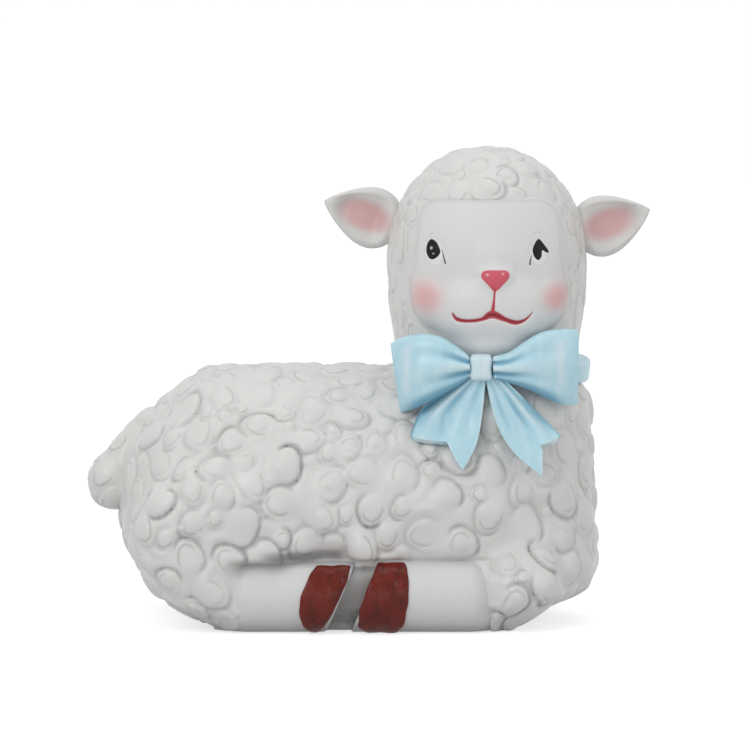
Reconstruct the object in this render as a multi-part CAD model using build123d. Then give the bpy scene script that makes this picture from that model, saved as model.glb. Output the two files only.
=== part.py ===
from build123d import *
from functools import cache
from math import cos, radians, sin, sqrt, tan
import os

# Lying lamb ornament, cast in stone-filled resin and painted by hand.
# Millimetres. +Z is up and the floor is Z = 0. The rump points to -X, the chest to +X,
# and the head is turned to look along -Y. The origin is on the underside, below the body's middle.

# Fits
GLUE_GAP = 0.15          # room for cement between two castings
PEG_COVER = 1.0          # wall that is left beyond a blind socket

# Body: a barrel along X and an upright chest, slush cast as one hollow shell
WALL = 4.0
BARREL_RADIUS = 33.0
BELLY_FLAT = 4.5         # how much of the barrel's round the floor cuts off
RUMP_END_X = -60.5
RUMP_CAP = 26.0          # length of the rounded rump
BREAST_END_X = 47.0
BREAST_CAP = 22.0        # length of the rounded end at the breast
CHEST_SETBACK = 18.6     # from the breast's end back to the axis of chest and neck
CHEST_TURN = -4.0        # how far that axis lies in front of the barrel's axis
CHEST_RADIUS = 26.4
CHEST_UNDERCUT = 14.0    # depth of the rounding below the widest height
CHEST_FLAT = 1.0         # how much of that rounding the floor cuts off
NECK_SINK = 0.5          # how far the seam of body and head lies below the top of the back
NECK_RADIUS = 21.0

# Haunches: the thighs, a rounded drum across the body. Elbows: fleece over the forelegs' ends.
HAUNCH_STEP = 24.0       # from the rump's end to the middle of a thigh
HAUNCH_RADIUS = 21.0
HAUNCH_FLAT = 0.5
HAUNCH_PROUD = 0.6       # how far a thigh stands out past the leg
HAUNCH_ROUND = 10.0
ELBOW_SETBACK = 10.5     # from the breast's end to the middle of an elbow
ELBOW_RADIUS = 13.0
ELBOW_FLAT = 2.5
ELBOW_INSET = 5.2        # from the foreleg's middle to the elbow's middle

# Pour hole in the underside, closed by a bung
POUR_HOLE_RADIUS = 8.0
POUR_HOLE_X = 17.0
BUNG_RECESS = 0.6
BUNG_FLANGE = 2.0        # how far the flange reaches past the hole
BUNG_FLANGE_THICK = 1.6

# Head
HEAD_RADIUS = 23.9
HEAD_HEIGHT = 53.2       # from the neck seam to the crown
CROWN_HEIGHT = 26.0      # from the top of the straight sides to the crown
JAW_HEIGHT = 17.0        # from the neck seam to where the sides are straight
TENON_RADIUS = 9.0
TENON_LENGTH = 10.0

# Face: a smooth casting let into the fleece of the head
FACE_WIDTH = 35.6
FACE_HEIGHT = 35.8
CHIN_RISE = 5.2          # from the neck seam to the chin
BROW_CORNER = 11.0       # radius of the two upper corners
FACE_DEPTH = 15.0
FACE_PROUD = 0.9         # how far the face stands out past the head
MUZZLE_HALF_WIDTH = 16.0
MUZZLE_RADIUS = 12.0
MUZZLE_PROUD = 5.2       # how far the muzzle stands in front of the face

# Ears: each a cupped leaf with a tenon in the head
EAR_LENGTH = 17.6        # from the head's side to the tip
EAR_WIDTH = 13.4
EAR_THICK = 6.4
EAR_DROP = 19.6          # from the crown down to the ears
EAR_LIFT = 17.0          # degrees above level
EAR_HOLLOW_LENGTH = 15.4
EAR_HOLLOW_WIDTH = 10.8
EAR_HOLLOW_DEPTH = 3.4
EAR_HOLLOW_STEP = 7.4    # from the head's side to the middle of the hollow
EAR_TENON_RADIUS = 2.2
EAR_TENON_LENGTH = 5.0
EAR_TENON_LAP = 4.4      # how far the tenon runs on inside the leaf
EAR_TENON_SETBACK = 0.8  # how far it lies behind the leaf's middle plane
# stations along an ear: share of its length, of its width and of its thickness
EAR_STATIONS = ((-0.14, 0.84, 0.75), (0.16, 1.0, 1.0), (0.46, 0.90, 0.92),
                (0.78, 0.54, 0.60), (1.0, 0.12, 0.22))

# Tail: a drop that hangs from the rump on a short peg
TAIL_LENGTH = 22.0
TAIL_RADIUS = 7.0
TAIL_ROOT_RADIUS = 3.5
TAIL_TILT = 12.0         # degrees from upright
TAIL_HANG = 3.5          # from the barrel's axis down to the tip
TAIL_PROUD = 8.2         # how far the tail reaches past the rump
TAIL_PEG_RADIUS = 2.4

# Folded legs lie along the floor, let into the body, two on each side
LEG_WIDTH = 16.0
LEG_HEIGHT = 16.6
LEG_CORNER = 6.4
LEG_PROUD = 3.2          # how far a leg stands out past the barrel
LEG_TUCK = 0.5           # how far a leg runs in past the middle of its thigh
FORELEG_TUCK = 4.5       # how far a foreleg's end stays short of the elbow's middle
HOOF_PROUD = 0.5         # how far a hoof stands out past its leg
HOOF_SLANT = 23.0        # degrees that the hoof ends lean
HOOF_LENGTH = 9.6
HOOF_GAP = 6.4           # between the two hooves of one side
HOOF_GAP_X = -3.7        # middle of that gap at half height
SPIGOT_RADIUS = 3.2
SPIGOT_LENGTH = 4.0
WEB_SETBACK = 3.0        # how far the web between the hooves lies behind them
WEB_ARCH_RADIUS = 5.2
WEB_ARCH_HEIGHT = 1.7

# Ribbon round the neck, with a bow in front
RIBBON_HEIGHT = 6.0
RIBBON_THICK = 2.9
RIBBON_RISE = 1.3        # from the neck seam to the middle of the band
RIBBON_TILT = 6.0        # degrees, higher towards the rump
KNOT_WIDTH = 6.2
KNOT_HEIGHT = 7.0
KNOT_DEPTH = 6.4
KNOT_SEAT = 1.2          # how far the knot sinks round the ribbon
KNOT_ROUND = 1.8
KNOT_OFFSET = -1.6       # from the neck's axis to the knot, along X
KNOT_RISE = 1.1          # from the middle of the band to the middle of the knot
LOOP_REACH = 21.4        # from the knot's side to the end of a loop
LOOP_HEIGHT = 17.6
LOOP_DEPTH = 8.6
LOOP_EDGE = 0.48         # corner radius of a loop's section, as a share of its depth there
LOOP_SWEEP = 6.0         # how far the end of a loop lies behind the knot
LOOP_DROP = 1.6          # how far the end of a loop lies below the knot
# stations along a loop: share of its reach, of its height and of its depth
LOOP_STATIONS = ((0.0, 0.32, 0.50), (0.35, 0.60, 0.80), (0.68, 0.94, 1.0),
                 (0.92, 1.0, 0.80), (1.0, 0.97, 0.42))
BOW_TAIL_THICK = 3.2
BOW_TAIL_LENGTH = 20.4
BOW_TAIL_END_WIDTH = 12.6
BOW_TAIL_ROOT_WIDTH = 4.4
BOW_TAIL_NOTCH = 3.8
BOW_TAIL_SPREAD = 33.0   # degrees between a tail and the plumb line
BOW_TAIL_ROOT_STEP = 2.4 # from the knot's middle to the middle of a tail's root

FLOOR_SPAN = 400.0       # larger than the figure, for trimming
OVAL_STEPS = 4           # spans of the curve through a quarter of an oval

# Places that follow from the sizes
BARREL_AXIS_Z = BARREL_RADIUS - BELLY_FLAT
NECK_Z = BARREL_AXIS_Z + BARREL_RADIUS - NECK_SINK
CHEST_X = BREAST_END_X - CHEST_SETBACK
CHEST_Y = CHEST_TURN
CHEST_WIDEST_Z = CHEST_UNDERCUT - CHEST_FLAT
HAUNCH_X = RUMP_END_X + HAUNCH_STEP
HAUNCH_Z = HAUNCH_RADIUS - HAUNCH_FLAT
HEAD_TOP_Z = NECK_Z + HEAD_HEIGHT
FACE_FRONT_Y = CHEST_Y - HEAD_RADIUS - FACE_PROUD
FACE_CHIN_Z = NECK_Z + CHIN_RISE
LEG_Y = -(BARREL_RADIUS + LEG_PROUD - LEG_WIDTH / 2)
ELBOW_X = BREAST_END_X - ELBOW_SETBACK
ELBOW_Z = ELBOW_RADIUS - ELBOW_FLAT
HIND_LEG_END_X = HAUNCH_X - LEG_TUCK
FORE_LEG_END_X = ELBOW_X - FORELEG_TUCK
SLANT_RUN = LEG_HEIGHT / 2 * tan(radians(HOOF_SLANT))
HOOF_STEP = HOOF_GAP / 2 + HOOF_LENGTH / 2    # from the gap's middle to the middle of a hoof
TAIL_TIP_Z = BARREL_AXIS_Z - TAIL_HANG
RIBBON_RADIUS = NECK_RADIUS + RIBBON_THICK
RIBBON_Z = NECK_Z + RIBBON_RISE
KNOT_X = CHEST_X + KNOT_OFFSET
KNOT_Y = CHEST_Y - RIBBON_RADIUS + KNOT_SEAT - KNOT_DEPTH / 2
KNOT_Z = RIBBON_Z + KNOT_RISE

ON_END = (Align.CENTER, Align.CENTER, Align.MIN)


def revolved(edges, axis_direction=(0, 0, 1)):
    """Solid of revolution of a closed outline drawn in the XZ plane."""
    outline = Plane.XZ * make_face(edges)
    return revolve(outline, Axis((0, 0, 0), axis_direction))


def quarter_oval(centre, x_radius, y_radius, first_angle):
    """A quarter of an oval, from first_angle on and anticlockwise, as one smooth curve."""
    angles = [radians(first_angle + 90 * step / OVAL_STEPS) for step in range(OVAL_STEPS + 1)]
    points = [(centre[0] + x_radius * cos(a), centre[1] + y_radius * sin(a)) for a in angles]
    ends = [(-x_radius * sin(a), y_radius * cos(a)) for a in (angles[0], angles[-1])]
    return Spline(*points, tangents=ends)


def egg(half_length, radius):
    """Oval solid of revolution along X."""
    right = quarter_oval((0, 0), half_length, radius, 0)
    left = quarter_oval((0, 0), half_length, radius, 90)
    axis = Line((-half_length, 0), (half_length, 0))
    return revolved([right, left, axis], axis_direction=(1, 0, 0))


def above_floor(shape):
    """Keeps what lies above the floor."""
    return shape - Pos(0, 0, -FLOOR_SPAN / 2) * Box(FLOOR_SPAN, FLOOR_SPAN, FLOOR_SPAN)


def mirrored_side(shape):
    """The same piece on the far side of the body."""
    return mirror(shape, Plane.XZ)


# Body forms. grow moves every face outward, for sockets and for the cavity.
def barrel(grow=0.0):
    """The body's barrel along X with its rounded rump and breast."""
    radius = BARREL_RADIUS + grow
    rear = RUMP_END_X + RUMP_CAP
    front = BREAST_END_X - BREAST_CAP
    rump = quarter_oval((rear, 0), RUMP_CAP + grow, radius, 90)
    breast = quarter_oval((front, 0), BREAST_CAP + grow, radius, 0)
    back = Line((rear, radius), (front, radius))
    axis = Line((RUMP_END_X - grow, 0), (BREAST_END_X + grow, 0))
    return Pos(0, 0, BARREL_AXIS_Z) * revolved([rump, back, breast, axis], axis_direction=(1, 0, 0))


def chest(grow=0.0):
    """The upright chest, drawn in towards the neck."""
    radius = CHEST_RADIUS + grow
    low = CHEST_WIDEST_Z - CHEST_UNDERCUT - grow
    under = quarter_oval((0, CHEST_WIDEST_Z), radius, CHEST_UNDERCUT + grow, 270)
    side = TangentArc([(radius, CHEST_WIDEST_Z), (NECK_RADIUS + grow, NECK_Z)], tangent=(0, 1))
    lid = Line((NECK_RADIUS + grow, NECK_Z), (0, NECK_Z))
    axis = Line((0, NECK_Z), (0, low))
    return Pos(CHEST_X, CHEST_Y, 0) * revolved([under, side, lid, axis])


def haunches(grow=0.0):
    """Both thighs, as one drum across the body with rounded ends."""
    half_width = BARREL_RADIUS + LEG_PROUD + HAUNCH_PROUD + grow
    drum = Cylinder(HAUNCH_RADIUS + grow, 2 * half_width)
    drum = fillet(drum.edges().filter_by(GeomType.CIRCLE), HAUNCH_ROUND)
    return Pos(HAUNCH_X, 0, HAUNCH_Z) * Rot(90, 0, 0) * drum


def elbow(grow=0.0):
    """Round of fleece over the end of the near foreleg."""
    return Pos(ELBOW_X, LEG_Y + ELBOW_INSET, ELBOW_Z) * Sphere(ELBOW_RADIUS + grow)


@cache
def body_form(grow=0.0):
    """Outside of the body casting, trimmed flat at the floor."""
    whole = barrel(grow) + chest(grow) + haunches(grow) + elbow(grow) + mirrored_side(elbow(grow))
    return above_floor(whole)


@cache
def head_form(grow=0.0):
    """Outside of the head: straight sides, a domed crown, drawn in at the neck."""
    radius = HEAD_RADIUS + grow
    jaw_z = NECK_Z + JAW_HEIGHT
    shoulder = HEAD_TOP_Z - CROWN_HEIGHT
    crown = quarter_oval((0, shoulder), radius, CROWN_HEIGHT + grow, 0)
    side = Line((radius, jaw_z), (radius, shoulder))
    jaw = TangentArc([(radius, jaw_z), (NECK_RADIUS + grow, NECK_Z)], tangent=(0, -1))
    seam = Line((NECK_RADIUS + grow, NECK_Z), (0, NECK_Z))
    axis = Line((0, NECK_Z), (0, HEAD_TOP_Z + grow))
    return Pos(CHEST_X, CHEST_Y, 0) * revolved([seam, jaw, side, crown, axis])


# Face
def face_outline(grow=0.0):
    """Outline of the face: a round chin, upright cheeks and a flat brow with round corners."""
    half = FACE_WIDTH / 2 + grow
    cheek_z = FACE_CHIN_Z + FACE_WIDTH / 2
    top = FACE_CHIN_Z + FACE_HEIGHT + grow
    corner = BROW_CORNER + grow
    chin = CenterArc((0, cheek_z), half, 180, 180)
    cheek = Line((half, cheek_z), (half, top - corner))
    brow_corner = CenterArc((half - corner, top - corner), corner, 0, 90)
    brow = Line((half - corner, top), (corner - half, top))
    other_corner = CenterArc((corner - half, top - corner), corner, 90, 90)
    other_cheek = Line((-half, top - corner), (-half, cheek_z))
    return make_face([chin, cheek, brow_corner, brow, other_corner, other_cheek])


def face_block(grow=0.0):
    """The face outline as a prism, from the back of the face to well in front of the head."""
    reach = 2 * HEAD_RADIUS
    front = Plane((CHEST_X, FACE_FRONT_Y - reach, 0), x_dir=(1, 0, 0), z_dir=(0, -1, 0))
    return extrude(front * face_outline(grow), -(reach + FACE_DEPTH + grow))


def muzzle(grow=0.0):
    """Oval muzzle, wider than it is high, that reaches down to the chin."""
    middle_y = FACE_FRONT_Y - MUZZLE_PROUD + MUZZLE_RADIUS
    middle_z = FACE_CHIN_Z + MUZZLE_RADIUS
    return Pos(CHEST_X, middle_y, middle_z) * egg(MUZZLE_HALF_WIDTH + grow, MUZZLE_RADIUS + grow)


@cache
def face(grow=0.0):
    """Smooth face that follows the round of the head, with a muzzle."""
    return face_block(grow) & (head_form(FACE_PROUD + grow) + muzzle(grow))


# Ears
def ear_place(side):
    """Frame of an ear: X runs along the ear away from the head, Z faces forward."""
    root_x = CHEST_X + side * HEAD_RADIUS
    along = Vector(side * cos(radians(EAR_LIFT)), 0, sin(radians(EAR_LIFT)))
    return Plane((root_x, CHEST_Y, HEAD_TOP_Z - EAR_DROP), x_dir=along, z_dir=(0, -1, 0)).location


def ear_leaf(side):
    """The leaf of an ear, cupped on its front."""
    sections = []
    for along, wide, thick in EAR_STATIONS:
        station = Plane((along * EAR_LENGTH, 0, 0), x_dir=(0, 1, 0), z_dir=(1, 0, 0))
        sections.append(station * Ellipse(wide * EAR_WIDTH / 2, thick * EAR_THICK / 2))
    hollow = egg(EAR_HOLLOW_LENGTH / 2, EAR_HOLLOW_WIDTH / 2)
    rise = EAR_THICK / 2 + EAR_HOLLOW_WIDTH / 2 - EAR_HOLLOW_DEPTH
    return ear_place(side) * (loft(sections) - Pos(EAR_HOLLOW_STEP, 0, rise) * hollow)


def ear_tenon(side, grow=0.0):
    """Tenon that runs from the ear's root into the head."""
    reach = EAR_TENON_LENGTH + grow
    rod = Cylinder(EAR_TENON_RADIUS + grow, reach + EAR_TENON_LAP, align=ON_END)
    start = Plane((-reach, 0, -EAR_TENON_SETBACK), x_dir=(0, 1, 0), z_dir=(1, 0, 0))
    return ear_place(side) * start.location * rod


def ear(side):
    """One ear with its tenon."""
    return (ear_leaf(side) - head_form(GLUE_GAP)) + ear_tenon(side)


# Tail
def tail_drop():
    """A drop of the tail's length, round at the tip and drawn in at the root."""
    tip = CenterArc((0, TAIL_RADIUS), TAIL_RADIUS, 270, 90)
    side = TangentArc([(TAIL_RADIUS, TAIL_RADIUS), (TAIL_ROOT_RADIUS, TAIL_LENGTH)], tangent=(0, 1))
    root = Line((TAIL_ROOT_RADIUS, TAIL_LENGTH), (0, TAIL_LENGTH))
    axis = Line((0, TAIL_LENGTH), (0, 0))
    tip_x = RUMP_END_X - TAIL_PROUD + TAIL_RADIUS
    return Location((tip_x, 0, TAIL_TIP_Z), (0, TAIL_TILT, 0)) * revolved([tip, side, root, axis])


def tail_peg(grow=0.0):
    """Peg from the round of the tail into the rump's wall."""
    peg_z = TAIL_TIP_Z + TAIL_RADIUS
    start_x = RUMP_END_X - TAIL_PROUD / 2
    lift = (peg_z - BARREL_AXIS_Z) / BARREL_RADIUS
    surface_x = RUMP_END_X + RUMP_CAP - RUMP_CAP * sqrt(1 - lift * lift)
    length = surface_x - start_x + WALL - PEG_COVER + grow
    rod = Cylinder(TAIL_PEG_RADIUS + grow, length, align=ON_END)
    return Plane((start_x, 0, peg_z), x_dir=(0, 1, 0), z_dir=(1, 0, 0)).location * rod


def tail():
    """Tail with its peg."""
    return (tail_drop() - body_form(GLUE_GAP)) + tail_peg()


# Legs and hooves of the near side, at -Y. sign is -1 for the hind leg and 1 for the foreleg.
def leg_bar(start_x, end_x, grow=0.0):
    """A bar of the leg's rounded section, from start_x to end_x, no lower than the floor."""
    width = LEG_WIDTH + 2 * grow
    height = LEG_HEIGHT + 2 * grow
    place = Plane((start_x - grow, LEG_Y, LEG_HEIGHT / 2), x_dir=(0, 1, 0), z_dir=(1, 0, 0))
    bar = extrude(place * RectangleRounded(width, height, LEG_CORNER + grow), end_x - start_x + 2 * grow)
    return above_floor(bar)


def slanted_slab(middle_x, length):
    """A slab across the legs, length along X, that leans with the hooves."""
    half = FLOOR_SPAN / 4
    lean = half * tan(radians(HOOF_SLANT))
    low_x = middle_x - lean
    high_x = middle_x + lean
    corners = [(low_x - length / 2, -half), (low_x + length / 2, -half),
               (high_x + length / 2, half), (high_x - length / 2, half)]
    outline = Plane.XZ * make_face(Polyline(*corners, close=True))
    return Pos(0, 0, LEG_HEIGHT / 2) * extrude(outline, FLOOR_SPAN / 2, both=True)


def hoof_slab(sign, grow=0.0):
    """The slice along X that a hoof fills."""
    return slanted_slab(HOOF_GAP_X + sign * HOOF_STEP, HOOF_LENGTH + 2 * grow)


def leg_zone(sign):
    """The space along X beyond the hoof, where the leg itself lies."""
    joint = HOOF_GAP / 2 + HOOF_LENGTH
    return slanted_slab(HOOF_GAP_X + sign * (joint + FLOOR_SPAN / 4), FLOOR_SPAN / 2)


def leg_reach(sign):
    """Where a leg starts and ends along X, past its hoof."""
    far = HIND_LEG_END_X if sign < 0 else FORE_LEG_END_X
    toe = HOOF_GAP_X + sign * (HOOF_GAP / 2 - SLANT_RUN - HOOF_PROUD)
    return min(far, toe), max(far, toe)


def spigot(sign, grow=0.0):
    """Spigot on the leg's end that the hoof is cemented to."""
    joint_x = HOOF_GAP_X + sign * (HOOF_GAP / 2 + HOOF_LENGTH)
    start_x = joint_x + sign * SLANT_RUN
    place = Plane((start_x, LEG_Y, LEG_HEIGHT / 2), x_dir=(0, 1, 0), z_dir=(-sign, 0, 0))
    return place.location * Cylinder(SPIGOT_RADIUS + grow, SPIGOT_LENGTH + SLANT_RUN + grow, align=ON_END)


def leg(sign):
    """A leg from inside the body to its hoof, with the spigot."""
    return (leg_bar(*leg_reach(sign)) & leg_zone(sign)) + spigot(sign)


def hoof(sign):
    """A hoof, a little larger than its leg and cut off at a slant on both ends."""
    return (leg_bar(*leg_reach(sign), HOOF_PROUD) & hoof_slab(sign)) - spigot(sign, GLUE_GAP)


def leg_recess(sign):
    """Room in the body for a leg and its hoof."""
    for_leg = leg_bar(*leg_reach(sign), GLUE_GAP) & leg_zone(sign)
    for_hoof = leg_bar(*leg_reach(sign), HOOF_PROUD + GLUE_GAP) & hoof_slab(sign, GLUE_GAP)
    return for_leg + for_hoof


def hoof_web():
    """Web of the body between the two hooves, arched over the floor."""
    front_y = LEG_Y - LEG_WIDTH / 2 + WEB_SETBACK
    back_y = LEG_Y + LEG_WIDTH / 2
    middle_y = (front_y + back_y) / 2
    block = Pos(HOOF_GAP_X, middle_y, LEG_HEIGHT / 2) * Box(FLOOR_SPAN / 4, back_y - front_y, LEG_HEIGHT)
    web = block & slanted_slab(HOOF_GAP_X, HOOF_GAP - 2 * GLUE_GAP)
    arch = Rot(90, 0, 0) * Cylinder(WEB_ARCH_RADIUS, FLOOR_SPAN / 4)
    return web - Pos(HOOF_GAP_X - SLANT_RUN, LEG_Y, WEB_ARCH_HEIGHT - WEB_ARCH_RADIUS) * arch


# Ribbon and bow
def ribbon_blank(grow=0.0):
    """Tilted disc with the ribbon's outside."""
    place = Location((CHEST_X, CHEST_Y, RIBBON_Z), (0, RIBBON_TILT, 0))
    return place * Cylinder(RIBBON_RADIUS + grow, RIBBON_HEIGHT + 2 * grow)


def clear_of_figure(shape):
    """The shape without the room that the body, the head and the face take up."""
    return shape - body_form(GLUE_GAP) - head_form(GLUE_GAP) - face(GLUE_GAP)


def knot_block(grow=0.0):
    """Block that the knot is cut from."""
    size = [side + 2 * grow for side in (KNOT_WIDTH, KNOT_DEPTH, KNOT_HEIGHT)]
    return Pos(KNOT_X, KNOT_Y, KNOT_Z) * Box(*size)


def knot():
    """The bow's knot, rounded in front and seated on the ribbon."""
    block = knot_block()
    front = block.edges().filter_by(Axis.Y, reverse=True).group_by(Axis.Y)[0]
    return clear_of_figure(fillet(front, KNOT_ROUND) - ribbon_blank(GLUE_GAP))


def bow_tail(side, grow=0.0):
    """A tail of the bow that lies on the chest, with a notch in its end."""
    half_root = BOW_TAIL_ROOT_WIDTH / 2 + grow
    half_end = BOW_TAIL_END_WIDTH / 2 + grow
    length = BOW_TAIL_LENGTH + grow
    corners = [(-half_root, grow), (half_root, grow), (half_end, -length),
               (0, BOW_TAIL_NOTCH - length), (-half_end, -length)]
    outline = Rot(0, 0, side * BOW_TAIL_SPREAD) * make_face(Polyline(*corners, close=True))
    root_x = KNOT_X + side * BOW_TAIL_ROOT_STEP
    root_z = KNOT_Z - KNOT_HEIGHT / 2 - GLUE_GAP
    place = Plane((root_x, CHEST_Y, root_z), x_dir=(1, 0, 0), z_dir=(0, -1, 0))
    slab = extrude(place * outline, FLOOR_SPAN / 4)
    skin = body_form(BOW_TAIL_THICK + GLUE_GAP + grow) - body_form(GLUE_GAP - grow)
    return (slab & skin) - ribbon_blank(GLUE_GAP - grow) - knot_block(GLUE_GAP - grow)


def loop(side):
    """A puffed loop of the bow, from the knot's side round to its outer fold."""
    sections = []
    for along, tall, deep in LOOP_STATIONS:
        x = KNOT_X + side * (KNOT_WIDTH / 2 + GLUE_GAP + along * LOOP_REACH)
        y = KNOT_Y + along * along * LOOP_SWEEP
        z = KNOT_Z - along * LOOP_DROP
        place = Plane((x, y, z), x_dir=(0, 1, 0), z_dir=(1, 0, 0))
        depth = deep * LOOP_DEPTH
        sections.append(place * RectangleRounded(depth, tall * LOOP_HEIGHT, LOOP_EDGE * depth))
    return clear_of_figure(loft(sections) - ribbon_blank(GLUE_GAP)) - bow_tail(side, GLUE_GAP)


# The two hollow and socketed castings, and the bung
def neck_tenon(grow=0.0):
    """Tenon under the head that stands in the body's neck."""
    rod = Cylinder(TENON_RADIUS + grow, TENON_LENGTH + grow, align=(Align.CENTER, Align.CENTER, Align.MAX))
    return Pos(CHEST_X, CHEST_Y, NECK_Z) * rod


def body_cavity():
    """Hollow of the slush-cast body, clear of the legs and of the neck socket by the wall."""
    hollow = barrel(-WALL) + chest(-WALL)
    ceiling = NECK_Z - TENON_LENGTH - WALL
    hollow -= Pos(CHEST_X, CHEST_Y, ceiling) * Cylinder(CHEST_RADIUS, FLOOR_SPAN, align=ON_END)
    hollow -= Pos(0, 0, WALL - FLOOR_SPAN / 2) * Box(FLOOR_SPAN, FLOOR_SPAN, FLOOR_SPAN)
    for sign in (-1, 1):
        keep_out = leg_bar(*leg_reach(sign), WALL)
        hollow -= keep_out
        hollow -= mirrored_side(keep_out)
    return hollow


def pour_hole():
    """Hole through the base wall that the casting was drained by."""
    return Pos(POUR_HOLE_X, 0, WALL / 2) * Cylinder(POUR_HOLE_RADIUS, 2 * WALL)


def body():
    """Hollow body casting with its sockets and recesses."""
    shape = body_form() + hoof_web() + mirrored_side(hoof_web())
    shape -= body_cavity()
    shape -= head_form(GLUE_GAP)
    shape -= neck_tenon(GLUE_GAP)
    for sign in (-1, 1):
        shape -= leg_recess(sign)
        shape -= mirrored_side(leg_recess(sign))
    shape -= tail_peg(GLUE_GAP)
    return shape - pour_hole()


def head():
    """Head casting with its tenon and the sockets for the face and the ears."""
    shape = head_form() + neck_tenon() - face_block(GLUE_GAP)
    for side in (-1, 1):
        shape -= ear_tenon(side, GLUE_GAP)
    return shape


def bung():
    """Stopper in the pour hole, with a flange inside the cavity."""
    plug = Cylinder(POUR_HOLE_RADIUS - GLUE_GAP, WALL - BUNG_RECESS, align=ON_END)
    flange = Cylinder(POUR_HOLE_RADIUS + BUNG_FLANGE, BUNG_FLANGE_THICK, align=ON_END)
    return Pos(POUR_HOLE_X, 0, BUNG_RECESS) * (plug + Pos(0, 0, WALL - BUNG_RECESS) * flange)


parts = {
    "body": body(),
    "base_bung": bung(),
    "head": head(),
    "face": face(),
    "ear_left": ear(-1),
    "ear_right": ear(1),
    "tail": tail(),
    "neck_ribbon": clear_of_figure(ribbon_blank()),
    "bow_knot": knot(),
    "bow_loop_left": loop(-1),
    "bow_loop_right": loop(1),
    "bow_tail_left": bow_tail(-1),
    "bow_tail_right": bow_tail(1),
}
for name, sign in (("hind", -1), ("fore", 1)):
    parts["near_" + name + "_leg"] = leg(sign)
    parts["near_" + name + "_hoof"] = hoof(sign)
    parts["far_" + name + "_leg"] = mirrored_side(leg(sign))
    parts["far_" + name + "_hoof"] = mirrored_side(hoof(sign))

os.makedirs("parts", exist_ok=True)
for name, shape in parts.items():
    export_step(shape, "parts/" + name + ".step")
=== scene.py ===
"""Lying lamb ornament, cast in resin and painted by hand: its looks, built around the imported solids.

Lengths in this script are millimetres, turned into metres where a mesh is written.
"""

import logging
import math
from dataclasses import dataclass, field
from enum import Enum
from typing import Any, Callable, ClassVar, Sequence

import bpy
import numpy as np
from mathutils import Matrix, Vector

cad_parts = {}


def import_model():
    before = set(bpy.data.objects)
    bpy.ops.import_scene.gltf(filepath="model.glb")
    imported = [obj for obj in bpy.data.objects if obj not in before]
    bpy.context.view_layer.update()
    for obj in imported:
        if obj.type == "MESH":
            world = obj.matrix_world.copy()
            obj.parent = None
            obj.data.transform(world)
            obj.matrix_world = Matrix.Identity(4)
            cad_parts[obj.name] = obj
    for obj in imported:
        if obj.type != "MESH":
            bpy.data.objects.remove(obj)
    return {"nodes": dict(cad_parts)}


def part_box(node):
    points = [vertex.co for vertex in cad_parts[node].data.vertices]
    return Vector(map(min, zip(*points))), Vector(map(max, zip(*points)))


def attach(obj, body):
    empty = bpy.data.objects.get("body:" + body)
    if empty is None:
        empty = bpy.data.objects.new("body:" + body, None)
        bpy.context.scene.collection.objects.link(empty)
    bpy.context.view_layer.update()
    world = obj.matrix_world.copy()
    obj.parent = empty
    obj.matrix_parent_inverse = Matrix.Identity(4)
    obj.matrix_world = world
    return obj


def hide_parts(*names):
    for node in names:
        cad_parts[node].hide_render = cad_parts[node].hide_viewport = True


Array = np.ndarray
Point = Sequence[float]
Span = tuple[float, float]
Piece = bpy.types.Object
Socket = bpy.types.NodeSocket
Tree = bpy.types.NodeTree

MM = 0.001
BODY = "root"
UP = np.array((0.0, 0.0, 1.0))
TINY = 1e-9
ROUND_FACES = 64

log = logging.getLogger("lamb")


# Numbers

def smooth_step(low: float, high: float, value: Array) -> Array:
    """Rises smoothly from 0 at low to 1 at high.

    Args:
        low: Value at which the step starts.
        high: Value at which the step ends.
        value: Values to map.

    Returns:
        The step at each value.
    """
    share = np.clip((value - low) / (high - low), 0.0, 1.0)
    return share * share * (3.0 - 2.0 * share)


def half_round(share: Array) -> Array:
    """Height of a half round of height 1 at a share of its half width."""
    return np.sqrt(np.clip(1.0 - share * share, 0.0, 1.0))


def bell(value: Array, middle: float, width: float) -> Array:
    """A soft peak of height 1 round a middle value, nearly gone at two widths from it."""
    return np.exp(-((value - middle) / width) ** 2)


def smooth_curve(points: Sequence[Point], steps: int, closed: bool = False) -> Array:
    """Draws a smooth curve through a few points.

    Args:
        points: The points that the curve passes through.
        steps: Pieces into which each span is divided.
        closed: Whether the last point joins the first.

    Returns:
        Points along the curve, one row each.
    """
    known = np.asarray(points, float)
    count = len(known)
    spans = count if closed else count - 1
    rows = []
    for span in range(spans):
        picks = [span - 1, span, span + 1, span + 2]
        wrapped = [p % count if closed else min(max(p, 0), count - 1) for p in picks]
        before, start, end, after = known[wrapped]
        for step in range(steps):
            t = step / steps
            bend = (2 * before - 5 * start + 4 * end - after) * t * t
            twist = (3 * start - before - 3 * end + after) * t * t * t
            rows.append(0.5 * (2 * start + (end - before) * t + bend + twist))
    if not closed:
        rows.append(known[-1])
    return np.array(rows)


def placed_along(curve: Array, share: Array) -> Array:
    """Finds the points at shares of the way along a curve.

    Args:
        curve: Points along the curve, one row each.
        share: Shares of the way, from 0 to 1.

    Returns:
        The points, one row each.
    """
    steps = np.linspace(0.0, 1.0, len(curve))
    return np.stack([np.interp(share, steps, column) for column in curve.T], axis=1)


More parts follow.
